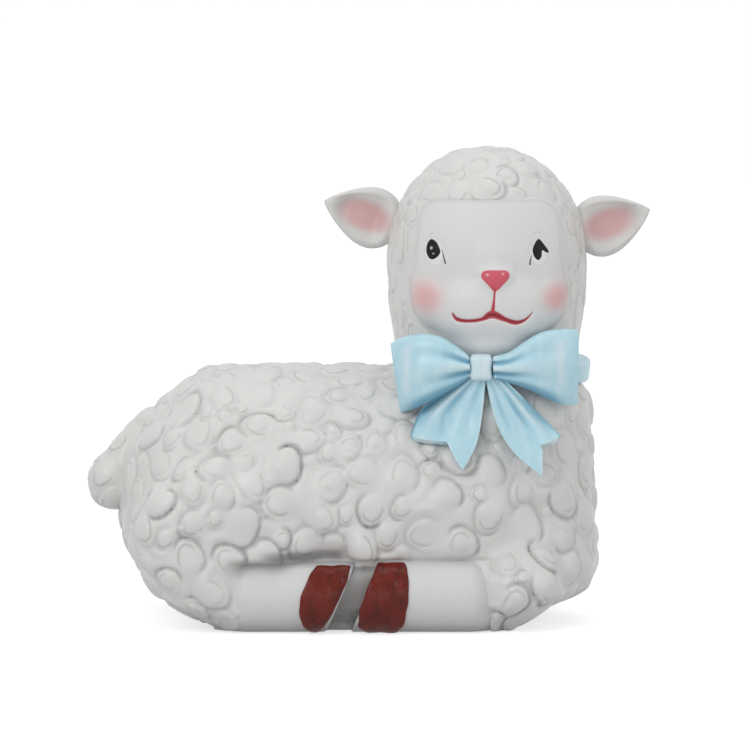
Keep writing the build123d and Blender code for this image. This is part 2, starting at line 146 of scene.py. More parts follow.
def stroke_distance(places: Array, line: Array, half_width: Array) -> Array:
    """Distance from places in a plane to the edge of a painted stroke.

    Args:
        places: Points of the plane, one row each.
        line: Points along the middle of the stroke.
        half_width: Half width of the stroke at each point of the line.

    Returns:
        Distance to the stroke's edge, negative inside it.
    """
    best = np.full(len(places), np.inf)
    for start, end, thin, thick in zip(line[:-1], line[1:], half_width[:-1], half_width[1:]):
        run = end - start
        share = np.clip(((places - start) @ run) / max(run @ run, TINY), 0.0, 1.0)
        gap = np.linalg.norm(places - start - share[:, None] * run, axis=1)
        best = np.minimum(best, gap - (thin + (thick - thin) * share))
    return best


def outline_distance(places: Array, outline: Array) -> Array:
    """Distance from places in a plane to a closed outline, negative inside it.

    Args:
        places: Points of the plane, one row each.
        outline: Corners of the outline in order.

    Returns:
        The signed distances.
    """
    following = np.roll(outline, -1, axis=0)
    best = stroke_distance(places, np.vstack([outline, outline[:1]]), np.zeros(len(outline) + 1))
    inside = np.zeros(len(places), bool)
    for (x0, z0), (x1, z1) in zip(outline, following):
        crosses = (z0 > places[:, 1]) != (z1 > places[:, 1])
        rise = z1 - z0 if z1 != z0 else TINY
        inside ^= crosses & (places[:, 0] < (x1 - x0) * (places[:, 1] - z0) / rise + x0)
    return np.where(inside, -best, best)


@dataclass(frozen=True)
class Solid:
    """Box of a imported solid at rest, in millimetres."""

    low: Array
    high: Array

    @classmethod
    def of(cls, node: str) -> "Solid":
        """Reads the box of the solid with that node name."""
        low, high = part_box(node)
        return cls(np.array(low) / MM, np.array(high) / MM)

    @property
    def middle(self) -> Array:
        """Middle of the box."""
        return (self.low + self.high) / 2

    @property
    def size(self) -> Array:
        """Lengths of the box along X, Y and Z."""
        return self.high - self.low


# Hand tools

def take(piece: Piece) -> None:
    """Selects one piece alone and makes it the active one."""
    bpy.ops.object.select_all(action="DESELECT")
    piece.select_set(True)
    bpy.context.view_layer.objects.active = piece


def settle(piece: Piece) -> Piece:
    """Puts a piece's place, turn and scale into its mesh."""
    take(piece)
    bpy.ops.object.transform_apply(location=True, rotation=True, scale=True)
    return piece


def ball(centre: Point, half: Point, segments: int = ROUND_FACES) -> Piece:
    """Adds a ball and stretches it to three half sizes.

    Args:
        centre: Middle of the ball.
        half: Half sizes along X, Y and Z.
        segments: Faces round the ball's upright axis.

    Returns:
        The new piece.
    """
    bpy.ops.object.select_all(action="DESELECT")
    bpy.ops.mesh.primitive_uv_sphere_add(segments=segments, ring_count=segments // 2, radius=1.0,
                                         location=[c * MM for c in centre])
    piece = bpy.context.object
    piece.scale = [h * MM for h in half]
    return settle(piece)


def rod(start: Point, end: Point, start_radius: float, end_radius: float | None = None) -> Piece:
    """Adds a round rod between two points, tapered if it has two radii.

    Args:
        start: Middle of the first end.
        end: Middle of the other end.
        start_radius: Radius at the first end.
        end_radius: Radius at the other end, if it differs.

    Returns:
        The new piece.
    """
    first = Vector(start)
    run = Vector(end) - first
    bpy.ops.object.select_all(action="DESELECT")
    bpy.ops.mesh.primitive_cone_add(vertices=ROUND_FACES, radius1=start_radius * MM, depth=run.length * MM,
                                    radius2=(end_radius or start_radius) * MM,
                                    location=(first + run / 2) * MM,
                                    rotation=run.to_track_quat("Z", "Y").to_euler())
    return settle(bpy.context.object)


def block(low: Point, high: Point) -> Piece:
    """Adds a block between two corners."""
    bpy.ops.object.select_all(action="DESELECT")
    bpy.ops.mesh.primitive_cube_add(size=1.0, location=[(a + b) / 2 * MM for a, b in zip(low, high)])
    piece = bpy.context.object
    piece.scale = [(b - a) * MM for a, b in zip(low, high)]
    return settle(piece)


def joined(pieces: Sequence[Piece], name: str) -> Piece:
    """Joins pieces into the first of them and names it."""
    bpy.ops.object.select_all(action="DESELECT")
    for piece in pieces:
        piece.select_set(True)
    bpy.context.view_layer.objects.active = pieces[0]
    if len(pieces) > 1:
        bpy.ops.object.join()
    pieces[0].name = name
    pieces[0].data.name = name
    return pieces[0]


def finish_with(piece: Piece, kind: str, **settings: Any) -> Piece:
    """Adds a modifier of a kind to a piece and applies it.

    Args:
        piece: The piece to work on.
        kind: Type of the modifier.
        settings: Values of the modifier's properties.

    Returns:
        The same piece.
    """
    take(piece)
    modifier = piece.modifiers.new(kind.lower(), kind)
    for name, value in settings.items():
        setattr(modifier, name, value)
    bpy.ops.object.modifier_apply(modifier=modifier.name)
    return piece


def fuse(piece: Piece, voxel: float, rounds: int) -> Piece:
    """Fuses overlapping shapes into one skin and rubs its creases soft.

    Args:
        piece: The joined shapes.
        voxel: Spacing of the new skin's points.
        rounds: Rounds of smoothing.

    Returns:
        The same piece.
    """
    finish_with(piece, "REMESH", mode="VOXEL", voxel_size=voxel * MM)
    if rounds:
        finish_with(piece, "SMOOTH", factor=0.5, iterations=rounds)
    return piece


def cut_away(piece: Piece, place: Point, towards: Point) -> Piece:
    """Saws a piece along a plane, drops what lies on the far side and closes the cut.

    Args:
        piece: The piece to cut.
        place: A point of the plane.
        towards: Direction of the side that is dropped.

    Returns:
        The same piece.
    """
    take(piece)
    bpy.ops.object.mode_set(mode="EDIT")
    bpy.ops.mesh.select_all(action="SELECT")
    bpy.ops.mesh.bisect(plane_co=[p * MM for p in place], plane_no=Vector(towards).normalized(),
                        use_fill=True, clear_outer=True)
    bpy.ops.object.mode_set(mode="OBJECT")
    return piece


def turn_outward(piece: Piece) -> None:
    """Turns all of a piece's faces outward."""
    take(piece)
    bpy.ops.object.mode_set(mode="EDIT")
    bpy.ops.mesh.select_all(action="SELECT")
    bpy.ops.mesh.normals_make_consistent(inside=False)
    bpy.ops.object.mode_set(mode="OBJECT")


def points_of(piece: Piece) -> Array:
    """Reads a piece's points, in millimetres, one row each."""
    flat = np.empty(len(piece.data.vertices) * 3, np.float32)
    piece.data.vertices.foreach_get("co", flat)
    return flat.reshape(-1, 3).astype(float) / MM


def move_points(piece: Piece, points: Array) -> None:
    """Writes a piece's points back from millimetres."""
    piece.data.vertices.foreach_set("co", (points * MM).astype(np.float32).ravel())
    piece.data.update()


def normals_of(piece: Piece) -> Array:
    """Reads the outward direction at each of a piece's points."""
    flat = np.empty(len(piece.data.vertices) * 3, np.float32)
    piece.data.vertex_normals.foreach_get("vector", flat)
    return flat.reshape(-1, 3).astype(float)


def edges_of(piece: Piece) -> Array:
    """Reads the two points of each of a piece's edges."""
    flat = np.empty(len(piece.data.edges) * 2, np.int32)
    piece.data.edges.foreach_get("vertices", flat)
    return flat.reshape(-1, 2)


def evened(values: Array, edges: Array, rounds: int) -> Array:
    """Evens out a value over neighbouring points.

    Args:
        values: One value for each point.
        edges: The two points of each edge.
        rounds: Rounds of averaging.

    Returns:
        The evened values.
    """
    count = len(values)
    ends = np.concatenate([edges[:, 0], edges[:, 1]])
    others = np.concatenate([edges[:, 1], edges[:, 0]])
    share = np.maximum(np.bincount(ends, minlength=count), 1)
    for _ in range(rounds):
        values = 0.5 * values + 0.5 * np.bincount(ends, values[others], count) / share
    return values


def mark(piece: Piece, name: str, values: Array) -> None:
    """Stores a value at each point, for the paint to read."""
    attribute = piece.data.attributes.new(name, "FLOAT", "POINT")
    attribute.data.foreach_set("value", values.astype(np.float32))


# Paints

def linear(code: str) -> tuple[float, float, float, float]:
    """Turns an sRGB hex colour into a linear one with full cover."""
    values = [int(code[i:i + 2], 16) / 255 for i in (1, 3, 5)]
    red, green, blue = [v / 12.92 if v <= 0.04045 else ((v + 0.055) / 1.055) ** 2.4 for v in values]
    return red, green, blue, 1.0


def per_size(size: float) -> float:
    """Scale of a pattern on coordinates in metres whose marks are that many millimetres wide."""
    return 1.0 / (size * MM)


def add_node(tree: Tree, kind: str, inputs: dict[Any, Any] | None = None,
             **settings: Any) -> bpy.types.Node:
    """Adds a node with its settings and links.

    Args:
        tree: Tree that the node goes into.
        kind: Type of the node.
        inputs: Inputs by name or number; one that is a socket is linked.
        settings: Values of the node's own properties.

    Returns:
        The new node.
    """
    node = tree.nodes.new(kind)
    for name, value in settings.items():
        setattr(node, name, value)
    for name, value in (inputs or {}).items():
        if isinstance(value, bpy.types.NodeSocket):
            tree.links.new(value, node.inputs[name])
        else:
            node.inputs[name].default_value = value
    return node


MIX_FACTOR, MIX_A, MIX_B, MIX_RESULT = 0, 6, 7, 2


@dataclass(frozen=True)
class Paint:
    """A coat of acrylic paint on cast resin, laid on with a soft brush.

    The brush leaves faint streaks in tone and height, and the coat is satin, so that it glints on ridges.
    """

    name: str
    colour: str
    streak_colour: str
    # Colour for painted shade, and on the fleece also for thin grey paint in the hollows.
    wash_and_shade_colour: str
    roughness: float = 0.5
    streak_size: float = 2.2
    streak_share: float = 0.3
    grain_size: float = 0.5
    grain_depth: float = 0.03
    coat: float = 0.0
    coat_roughness: float = 0.14
    gloss: float = 0.5

    IOR: ClassVar[float] = 1.48
    GRAIN_STRENGTH: ClassVar[float] = 0.6
    GRAIN_RANGE: ClassVar[Span] = (0.3, 0.7)
    SMOOTHER: ClassVar[float] = 0.06
    ROUGHER: ClassVar[float] = 0.08
    STREAK_RANGE: ClassVar[Span] = (0.45, 0.75)
    STREAK_PULL: ClassVar[Point] = (1.0, 1.0, 0.35)

    def material(self) -> bpy.types.Material:
        """Builds the paint's material.

        Returns:
            The new material.
        """
        made = bpy.data.materials.new(self.name)
        made.use_nodes = True
        tree = made.node_tree
        tree.nodes.clear()
        place = add_node(tree, "ShaderNodeTexCoord").outputs["Object"]
        tone = self.tone(tree, place)
        noise = add_node(tree, "ShaderNodeTexNoise", {
            "Vector": place, "Scale": per_size(self.grain_size), "Detail": 3.0, "Roughness": 0.6})
        grain = noise.outputs["Fac"]
        bump = add_node(tree, "ShaderNodeBump", {
            "Height": self.height(tree, grain), "Strength": self.GRAIN_STRENGTH,
            "Distance": self.grain_depth * MM})
        relief = bump.outputs["Normal"]
        fine, coarse = self.GRAIN_RANGE
        sheen = add_node(tree, "ShaderNodeMapRange", {
            "Value": grain, "From Min": fine, "From Max": coarse,
            "To Min": self.roughness - self.SMOOTHER, "To Max": self.roughness + self.ROUGHER})
        shader = add_node(tree, "ShaderNodeBsdfPrincipled", {
            "Base Color": tone, "Roughness": sheen.outputs["Result"], "IOR": self.IOR, "Normal": relief,
            "Specular IOR Level": self.gloss, "Coat Weight": self.coat,
            "Coat Roughness": self.coat_roughness, "Coat Normal": relief})
        add_node(tree, "ShaderNodeOutputMaterial", {"Surface": shader.outputs["BSDF"]})
        return made

    def height(self, tree: Tree, grain: Socket) -> Socket:
        """Fine relief of the coat, here only the grain of the brush."""
        return grain

    def mixed(self, tree: Tree, share: Any, under: Any, over: Any) -> Socket:
        """Lays one colour over another.

        Args:
            tree: The material's tree.
            share: How much of the upper colour covers.
            under: The lower colour.
            over: The upper colour.

        Returns:
            The mixed colour's socket.
        """
        node = add_node(tree, "ShaderNodeMix", {MIX_FACTOR: share, MIX_A: under, MIX_B: over},
                        data_type="RGBA")
        return node.outputs[MIX_RESULT]

    def masked(self, tree: Tree, mark_name: str, low: float, high: float, most: float = 1.0) -> Socket:
        """Turns a mark on the mesh into a cover.

        Args:
            tree: The material's tree.
            mark_name: Name of the mark.
            low: Value of the mark at which the cover starts.
            high: Value of the mark at which the cover is full.
            most: The full cover.

        Returns:
            The cover's socket.
        """
        value = add_node(tree, "ShaderNodeAttribute", attribute_name=mark_name).outputs["Fac"]
        node = add_node(tree, "ShaderNodeMapRange", {
            "Value": value, "From Min": low, "From Max": high, "To Min": 0.0, "To Max": most},
            interpolation_type="SMOOTHSTEP")
        return node.outputs["Result"]

    def covered(self, tree: Tree, under: Socket, code: str, mark_name: str, low: float, high: float,
                most: float = 1.0) -> Socket:
        """Lays a colour over the coat where a mark on the mesh calls for it.

        Args:
            tree: The material's tree.
            under: The coat so far.
            code: The colour that is laid over it.
            mark_name: Name of the mark.
            low: Value of the mark at which the colour starts.
            high: Value of the mark at which it covers most.
            most: The share that it covers there.

        Returns:
            The new colour's socket.
        """
        return self.mixed(tree, self.masked(tree, mark_name, low, high, most), under, linear(code))

    def tone(self, tree: Tree, place: Socket) -> Socket:
        """Colour of the brushed coat with its faint streaks.

        Args:
            tree: The material's tree.
            place: Socket of the coordinates that the streaks lie on.

        Returns:
            The colour's socket.
        """
        stretched = add_node(tree, "ShaderNodeMapping", {"Vector": place, "Scale": self.STREAK_PULL})
        streaks = add_node(tree, "ShaderNodeTexNoise", {
            "Vector": stretched.outputs["Vector"], "Scale": per_size(self.streak_size),
            "Detail": 4.0, "Roughness": 0.55})
        faint, strong = self.STREAK_RANGE
        share = add_node(tree, "ShaderNodeMapRange", {
            "Value": streaks.outputs["Fac"], "From Min": faint, "From Max": strong,
            "To Min": 0.0, "To Max": self.streak_share})
        return self.mixed(tree, share.outputs["Result"], linear(self.colour), linear(self.streak_colour))


@dataclass(frozen=True)
class FleecePaint(Paint):
    """White paint, grey in the hollows between the locks: partly thin grey paint that settled there, partly
    painted shade.
    """

    speck_colour: str = "#646462"
    shade_paint_colour: str = "#767574"
    speck_size: float = 2.2
    patch_size: float = 16.0
    # Depth of the crescent lines' bump, and strength of the painted shade in them.
    line_depth: float = 4.5
    line_share: float = 0.46

    LINE_INNER: ClassVar[Span] = (0.56, 0.68)
    LINE_OUTER: ClassVar[Span] = (0.82, 0.70)
    LINE_SIDE: ClassVar[Span] = (0.1, 1.0)
    PATCH_RANGE: ClassVar[Span] = (0.36, 0.62)
    PATCH_LEAST: ClassVar[float] = 0.3
    SPECK_RANGE: ClassVar[Span] = (0.59, 0.65)

    def line(self, tree: Tree) -> Socket:
        """The fine crescent line inside a lock."""
        rising = self.masked(tree, "arc", *self.LINE_INNER)
        falling = self.masked(tree, "arc", *self.LINE_OUTER)
        ring = add_node(tree, "ShaderNodeMath", {0: rising, 1: falling}, operation="MULTIPLY")
        side = self.masked(tree, "arc_side", *self.LINE_SIDE)
        line = add_node(tree, "ShaderNodeMath", {0: ring.outputs["Value"], 1: side}, operation="MULTIPLY")
        return line.outputs["Value"]

    def height(self, tree: Tree, grain: Socket) -> Socket:
        """Grain of the brush with the crescent lines cut into it."""
        node = add_node(tree, "ShaderNodeMath", {0: self.line(tree), 1: -self.line_depth, 2: grain},
                        operation="MULTIPLY_ADD")
        return node.outputs["Value"]

    def tone(self, tree: Tree, place: Socket) -> Socket:
        """White coat, grey in the hollows, painted shade in the crescent lines and on webs, seams and the
        face's rim, and dark specks in the deepest hollows.

        Args:
            tree: The material's tree.
            place: Socket of the coordinates that streaks, patches and specks lie on.

        Returns:
            The colour's socket.
        """
        white = super().tone(tree, place)
        patches = add_node(tree, "ShaderNodeTexNoise", {
            "Vector": place, "Scale": per_size(self.patch_size), "Detail": 2.0})
        thin, thick = self.PATCH_RANGE
        spread = add_node(tree, "ShaderNodeMapRange", {
            "Value": patches.outputs["Fac"], "From Min": thin, "From Max": thick, "To Min": self.PATCH_LEAST})
        laid_on = spread.outputs["Result"]
        # Grey in the hollows: partly thin grey paint, partly painted shade.
        darkening = add_node(tree, "ShaderNodeMath", {0: self.masked(tree, "hollow", 0.15, 1.0, 0.95), 1: laid_on},
                        operation="MULTIPLY")
        hollows_darkened = self.mixed(tree, darkening.outputs["Value"], white, linear(self.wash_and_shade_colour))
        # The crescent lines darkened in the same grey, as painted shade in their fine grooves.
        faint = add_node(tree, "ShaderNodeMath", {0: laid_on, 1: self.line_share}, operation="MULTIPLY")
        drawn = add_node(tree, "ShaderNodeMath", {0: self.line(tree), 1: faint.outputs["Value"]},
                         operation="MULTIPLY")
        lined = self.mixed(tree, drawn.outputs["Value"], hollows_darkened, linear(self.wash_and_shade_colour))
        # Painted shade on the webs, over the legs and along the face's rim.
        shade_painted = self.covered(tree, lined, self.shade_paint_colour, "painted_shade", 0.05, 1.0, 0.85)
        # Dark specks in the deepest hollows.
        spots = add_node(tree, "ShaderNodeTexNoise", {
            "Vector": place, "Scale": per_size(self.speck_size), "Detail": 1.0})
        few, many = self.SPECK_RANGE
        chosen = add_node(tree, "ShaderNodeMapRange", {
            "Value": spots.outputs["Fac"], "From Min": few, "From Max": many})
        deep = self.masked(tree, "hollow", 0.6, 1.0)
        cover = add_node(tree, "ShaderNodeMath", {0: chosen.outputs["Result"], 1: deep}, operation="MULTIPLY")
        return self.mixed(tree, cover.outputs["Value"], shade_painted, linear(self.speck_colour))


@dataclass(frozen=True)
class FacePaint(Paint):
    """Smooth white paint with the eyes, nose, mouth and blush painted on by hand, and painted highlights in
    the eyes and on the nose.
    """

    black: str = "#060606"
    sclera: str = "#eceded"
    # Colour of the painted highlights in the eyes.
    glint: str = "#b9bcbc"
    rose: str = "#d2606f"
    # Colour of the painted highlights on the nose.
    shine: str = "#eab6bc"
    lip: str = "#b8404c"
    lip_dark: str = "#7a2630"
    blush: str = "#e2acac"
    lash: str = "#4c4c4c"
    edge: float = 0.07

    def tone(self, tree: Tree, place: Socket) -> Socket:
        """White coat with each painted feature laid over it in turn.

        Args:
            tree: The material's tree.
            place: Socket of the coordinates that the streaks lie on.

        Returns:
            The colour's socket.
        """
        tone = super().tone(tree, place)
        # Painted shade along the face's rim and round the mouth.
        tone = self.covered(tree, tone, self.wash_and_shade_colour, "hollow", 0.1, 1.0, 0.7)
        tone = self.covered(tree, tone, self.blush, "blush", 0.0, 1.0, 0.8)
        # eye_glint and nose_shine are painted highlights.
        layers = (("eye_white", self.sclera, 0.8), ("eye_lid", self.lash, 0.4), ("eye_lash", self.lash, 0.95),
                  ("eye_black", self.black, 1.0), ("eye_glint", self.glint, 0.85), ("nose", self.rose, 1.0),
                  ("nose_shine", self.shine, 0.9), ("lip", self.lip, 0.97), ("lip_dark", self.lip_dark, 0.9))
        for name, code, most in layers:
            tone = self.covered(tree, tone, code, name, self.edge, -self.edge, most)
        return tone


@dataclass(frozen=True)
class EarPaint(Paint):
    """White paint with pink rubbed into the cup of the ear."""

    pink: str = "#d2a9a8"

    def tone(self, tree: Tree, place: Socket) -> Socket:
        """White rim that turns pink towards the middle of the cup."""
        return self.covered(tree, super().tone(tree, place), self.pink, "cup", 0.15, 1.0, 0.95)


@dataclass(frozen=True)
class LegPaint(Paint):
    """White paint with painted shade where it runs in under the fleece, by the floor and at the end by the
    hoof.
    """

    def tone(self, tree: Tree, place: Socket) -> Socket:
        """White coat with painted shade by the marks on the leg."""
        return self.covered(tree, super().tone(tree, place), self.wash_and_shade_colour, "painted_shade", 0.0, 1.0, 0.85)


@dataclass(frozen=True)
class RibbonPaint(Paint):
    """Pale blue paint with painted shade in the folds and painted highlights on the ridges."""

    # Colour of the painted highlights on the ridges.
    pale: str = "#dbeaf0"

    def tone(self, tree: Tree, place: Socket) -> Socket:
        """Blue coat with painted shade in the folds and painted highlights on the ridges."""
        folded = self.covered(tree, super().tone(tree, place), self.wash_and_shade_colour, "hollow", 0.05, 0.9)
        return self.covered(tree, folded, self.pale, "ridge", 0.15, 1.0, 0.8)


class Finish(Enum):
    """The finishes of the figure, each with the record's slot that it belongs to."""

    FLEECE = "fleece_paint"
    FACE = "face_paint"
    EAR = "ear_paint"
    LEG = "leg_paint"
    HOOF = "hoof_paint"
    RIBBON = "ribbon_paint"
    BUNG = "bung"


# The third colour of each paint is for painted shade, and on the fleece also for thin grey paint in the
# hollows; the ear, hoof and stopper leave it unused.
PAINTS: dict[Finish, Paint] = {
    Finish.FLEECE: FleecePaint("white_fleece_acrylic", "#dbdad8", "#d1d1cf", "#9f9f9e", roughness=0.42),
    Finish.FACE: FacePaint("white_face_acrylic", "#e0dfdf", "#d6d7d8", "#b0b1b3", roughness=0.42, gloss=0.22),
    Finish.EAR: EarPaint("white_ear_acrylic", "#d8d7d5", "#cecdcb", "#b5b5b3"),
    Finish.LEG: LegPaint("white_leg_acrylic", "#d9d9d9", "#cfd0d0", "#9a9b9d", roughness=0.45),
    Finish.HOOF: Paint("brown_hoof_enamel", "#6c190b", "#3c0a04", "#4a1a11", roughness=0.3, gloss=0.05,
                       streak_size=2.4, streak_share=0.7, grain_size=1.9, grain_depth=0.4,
                       coat=0.4, coat_roughness=0.07),
    Finish.RIBBON: RibbonPaint("pale_blue_ribbon_enamel", "#b4dce9", "#cbe6ee", "#76acc4", roughness=0.34,
                               streak_size=1.6, streak_share=0.75, coat=0.08),
    Finish.BUNG: Paint("grey_moulded_stopper", "#a5a4a0", "#989793", "#8c8b88", roughness=0.55,
                       grain_size=0.35, grain_depth=0.04),
}


@dataclass
class Palette:
    """Makes each finish once and lays it on the pieces."""

    made: dict[Finish, bpy.types.Material] = field(default_factory=dict)

    def dress(self, piece: Piece, finish: Finish) -> None:
        """Gives a piece its finish and smooth shading.

        Args:
            piece: The piece to dress.
            finish: The finish that it takes.
        """
        if finish not in self.made:
            self.made[finish] = PAINTS[finish].material()
        piece.data.materials.clear()
        piece.data.materials.append(self.made[finish])
        take(piece)
        bpy.ops.object.shade_smooth()

    def place(self, piece: Piece, finish: Finish, *nodes: str) -> None:
        """Dresses a new piece, sets it on the figure and lets it stand for solids.

        Args:
            piece: The finished piece.
            finish: The finish that it takes.
            nodes: The solids that it stands for.
        """
        self.dress(piece, finish)
        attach(piece, BODY)
        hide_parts(*nodes)
        log.info("%s: %d faces, stands for %s", piece.name, len(piece.data.polygons), ", ".join(nodes))


# Fleece

class Lock(Enum):
    """The ways in which a lock of the fleece is modelled."""

    BEAD = "a soft bead with a groove round its crisp side"
    RIPPLE = "a bead with a second crescent outside its groove"
    COIL = "a bead with a groove that winds in to its middle"


@dataclass(frozen=True)
class Curl:
    """One lock of the fleece: it stands crisp on one side and runs out into the ground on the other.

    The class's own values are shares of the lock's radius and height, angles, and cosines of the angle
    from the crisp side.
    """

    centre: Array
    along: Array
    across: Array
    radius: float
    height: float
    depth: float
    lock: Lock
    stretch: float
    turn: float

    REACH: ClassVar[float] = 1.9
    UNEVEN: ClassVar[Sequence[Point]] = ((2, 0.06, 1.3), (3, 0.05, 0.4))
    CRISP_SIDE: ClassVar[Span] = (-0.7, 0.3)
    CRISP_POWER: ClassVar[float] = 1.05
    RUN_OUT: ClassVar[Span] = (0.15, 1.3)
    GROOVE_INNER: ClassVar[Span] = (0.88, 1.02)
    GROOVE_OUTER: ClassVar[Span] = (1.36, 1.04)
    SECOND_HEIGHT: ClassVar[float] = 0.5
    RIPPLE_AT: ClassVar[float] = 1.58
    RIPPLE_WIDTH: ClassVar[float] = 0.15
    COIL_AT: ClassVar[float] = 0.5
    COIL_WIDTH: ClassVar[float] = 0.12
    COIL_SIDE: ClassVar[Span] = (-0.2, 0.6)
    COIL_TURN: ClassVar[float] = 2.4
    LINE_SIDE: ClassVar[Span] = (-0.5, 0.5)
    LINE_TURN: ClassVar[float] = 1.5
    PLAIN_TURN: ClassVar[float] = 3.4

    def carve(self, offsets: Array) -> tuple[Array, Array, Array, Array]:
        """Height of the lock, depth of its groove and run of its fine line at places near it.

        Args:
            offsets: Places, counted from the lock's middle.

        Returns:
            The rise over the ground, the cut into it, the share of the radius, and the strength of the
            line that follows one share of it, which is 0 on a plain bead.
        """
        u = offsets @ self.along / (self.radius * self.stretch)
        v = offsets @ self.across / self.radius
        angle = np.arctan2(v, u) - self.turn
        uneven = 1.0
        for lobes, part, start in self.UNEVEN:
            uneven = uneven + part * np.cos(lobes * angle + start)
        share = np.hypot(u, v) * uneven
        crisp_side = smooth_step(*self.CRISP_SIDE, np.cos(angle))
        crisp = half_round(np.clip(share, 0.0, 1.0)) ** self.CRISP_POWER
        soft = 1.0 - smooth_step(*self.RUN_OUT, share)
        dome = soft + (crisp - soft) * crisp_side
        groove = crisp_side * smooth_step(*self.GROOVE_INNER, share) * smooth_step(*self.GROOVE_OUTER, share)
        if self.lock is Lock.RIPPLE:
            dome = dome + self.SECOND_HEIGHT * crisp_side * bell(share, self.RIPPLE_AT, self.RIPPLE_WIDTH)
        if self.lock is Lock.COIL:
            inner_side = smooth_step(*self.COIL_SIDE, np.cos(angle + self.COIL_TURN))
            dome = dome - self.SECOND_HEIGHT * (inner_side * bell(share, self.COIL_AT, self.COIL_WIDTH))
        plain = self.lock is Lock.BEAD and self.turn > self.PLAIN_TURN
        side = 0.0 * share if plain else smooth_step(*self.LINE_SIDE, np.cos(angle - self.LINE_TURN))
        return self.height * dome, self.depth * groove, share, side


@dataclass
class Fleece:
    """A fleece-covered form: a ground of rounded shapes with locks carved all over it."""

    name: str
    node: str
    seed: int
    voxel: float
    smallest: float = 2.0
    largest: float = 4.2
    closeness: float = 0.96
    dome: float = 1.1
    groove: float = 0.55
    ripples: float = 0.34
    coils: float = 0.2
    swell: float = 0.26
    line_cut: float = 0.18
    candidates: int = 9000

    RADIUS_SPREAD: ClassVar[Span] = (0.92, 1.06)
    HEIGHT_SPREAD: ClassVar[Span] = (0.75, 1.2)
    GROOVE_SPREAD: ClassVar[Span] = (0.5, 1.25)
    STRETCH_SPREAD: ClassVar[Span] = (0.92, 1.18)
    WAVES: ClassVar[int] = 14
    WAVE_LENGTH: ClassVar[Span] = (8.0, 17.0)
    NO_LOCK: ClassVar[float] = 3.0
    LINE_AT: ClassVar[float] = 0.69
    LINE_WIDTH: ClassVar[float] = 0.1
    FILLED_RISE: ClassVar[Span] = (0.3, 0.7)
    FILLED_SHARE: ClassVar[float] = 0.8
    FULL_CUT: ClassVar[float] = 0.55
    FULL_DIP: ClassVar[float] = 0.5
    DIP_ROUNDS: ClassVar[int] = 16
    DIP_SHARE: ClassVar[float] = 0.5

    def ground(self) -> Piece:
        """Blocks out the form that the locks sit on."""
        raise NotImplementedError

    def depth_at(self, points: Array) -> Array:
        """Share of the full relief at places on the ground."""
        return np.ones(len(points))

    def bare(self, points: Array) -> Array:
        """Places that carry no lock."""
        return np.zeros(len(points), bool)

    def lie(self, centre: Array) -> tuple[Array, float]:
        """Direction in which the lock at a place lies, and how far it is drawn out."""
        return UP, 1.0

    def chosen(self) -> list[Curl]:
        """Locks that are given one by one, before the others."""
        return []

    def shaped(self, points: Array, normals: Array, height: Array) -> Array:
        """Last changes to the carved points."""
        return points + normals * height[:, None]

    def shade_painted(self, points: Array) -> Array:
        """Places with painted shade whatever the relief."""
        return np.zeros(len(points))

    def scatter(self, points: Array, normals: Array) -> list[Curl]:
        """Sets locks side by side over the ground, large ones first.

        Args:
            points: Points of the ground.
            normals: Outward directions at those points.

        Returns:
            The locks.
        """
        draw = np.random.default_rng(self.seed)
        curls = self.chosen()
        tries = draw.permutation(np.flatnonzero(~self.bare(points)))[:self.candidates]
        depth = self.depth_at(points)
        centres = np.zeros((len(tries) + len(curls), 3))
        radii = np.zeros(len(centres))
        for count, curl in enumerate(curls):
            centres[count] = curl.centre
            radii[count] = curl.radius
        count = len(curls)
        for number, index in enumerate(tries):
            share = (number / len(tries)) ** 0.5
            radius = self.largest + (self.smallest - self.largest) * share
            gaps = np.linalg.norm(centres[:count] - points[index], axis=1)
            if count and np.any(gaps < self.closeness * (radii[:count] + radius)):
                continue
            centres[count] = points[index]
            radii[count] = radius
            count += 1
            curls.append(self.lock_at(points[index], normals[index], radius, depth[index], draw))
        return curls

    def lock_at(self, centre: Array, normal: Array, radius: float, depth: float,
                draw: np.random.Generator) -> Curl:
        """Models one lock with its own kind, turn and height.

        Args:
            centre: Place on the ground.
            normal: Outward direction there.
            radius: Radius of the lock.
            depth: Share of the full relief there.
            draw: Source of the lock's own variation.

        Returns:
            The lock.
        """
        lie, stretch = self.lie(centre)
        along = lie - normal * (lie @ normal)
        if np.linalg.norm(along) < 0.1:
            along = np.array((1.0, 0.0, 0.0)) - normal * normal[0]
        along = along / np.linalg.norm(along)
        kind = draw.random()
        lock = Lock.BEAD
        if kind < self.ripples:
            lock = Lock.RIPPLE
        elif kind < self.ripples + self.coils:
            lock = Lock.COIL
        size = (radius / self.largest) ** 0.5
        return Curl(centre, along, np.cross(normal, along), radius * draw.uniform(*self.RADIUS_SPREAD),
                    self.dome * depth * size * draw.uniform(*self.HEIGHT_SPREAD),
                    self.groove * depth * draw.uniform(*self.GROOVE_SPREAD), lock,
                    stretch * draw.uniform(*self.STRETCH_SPREAD), draw.uniform(0.0, math.tau))

    def swelling(self, points: Array) -> Array:
        """Broad, uneven rises and falls of the ground between the locks.

        Args:
            points: Points of the ground.

        Returns:
            The rise at each point.
        """
        draw = np.random.default_rng(self.seed + 1)
        total = np.zeros(len(points))
        for _ in range(self.WAVES):
            heading = draw.normal(size=3)
            heading *= math.tau / draw.uniform(*self.WAVE_LENGTH) / np.linalg.norm(heading)
            total += np.sin(points @ heading + draw.uniform(0.0, math.tau))
        return total * self.swell / math.sqrt(self.WAVES / 2)

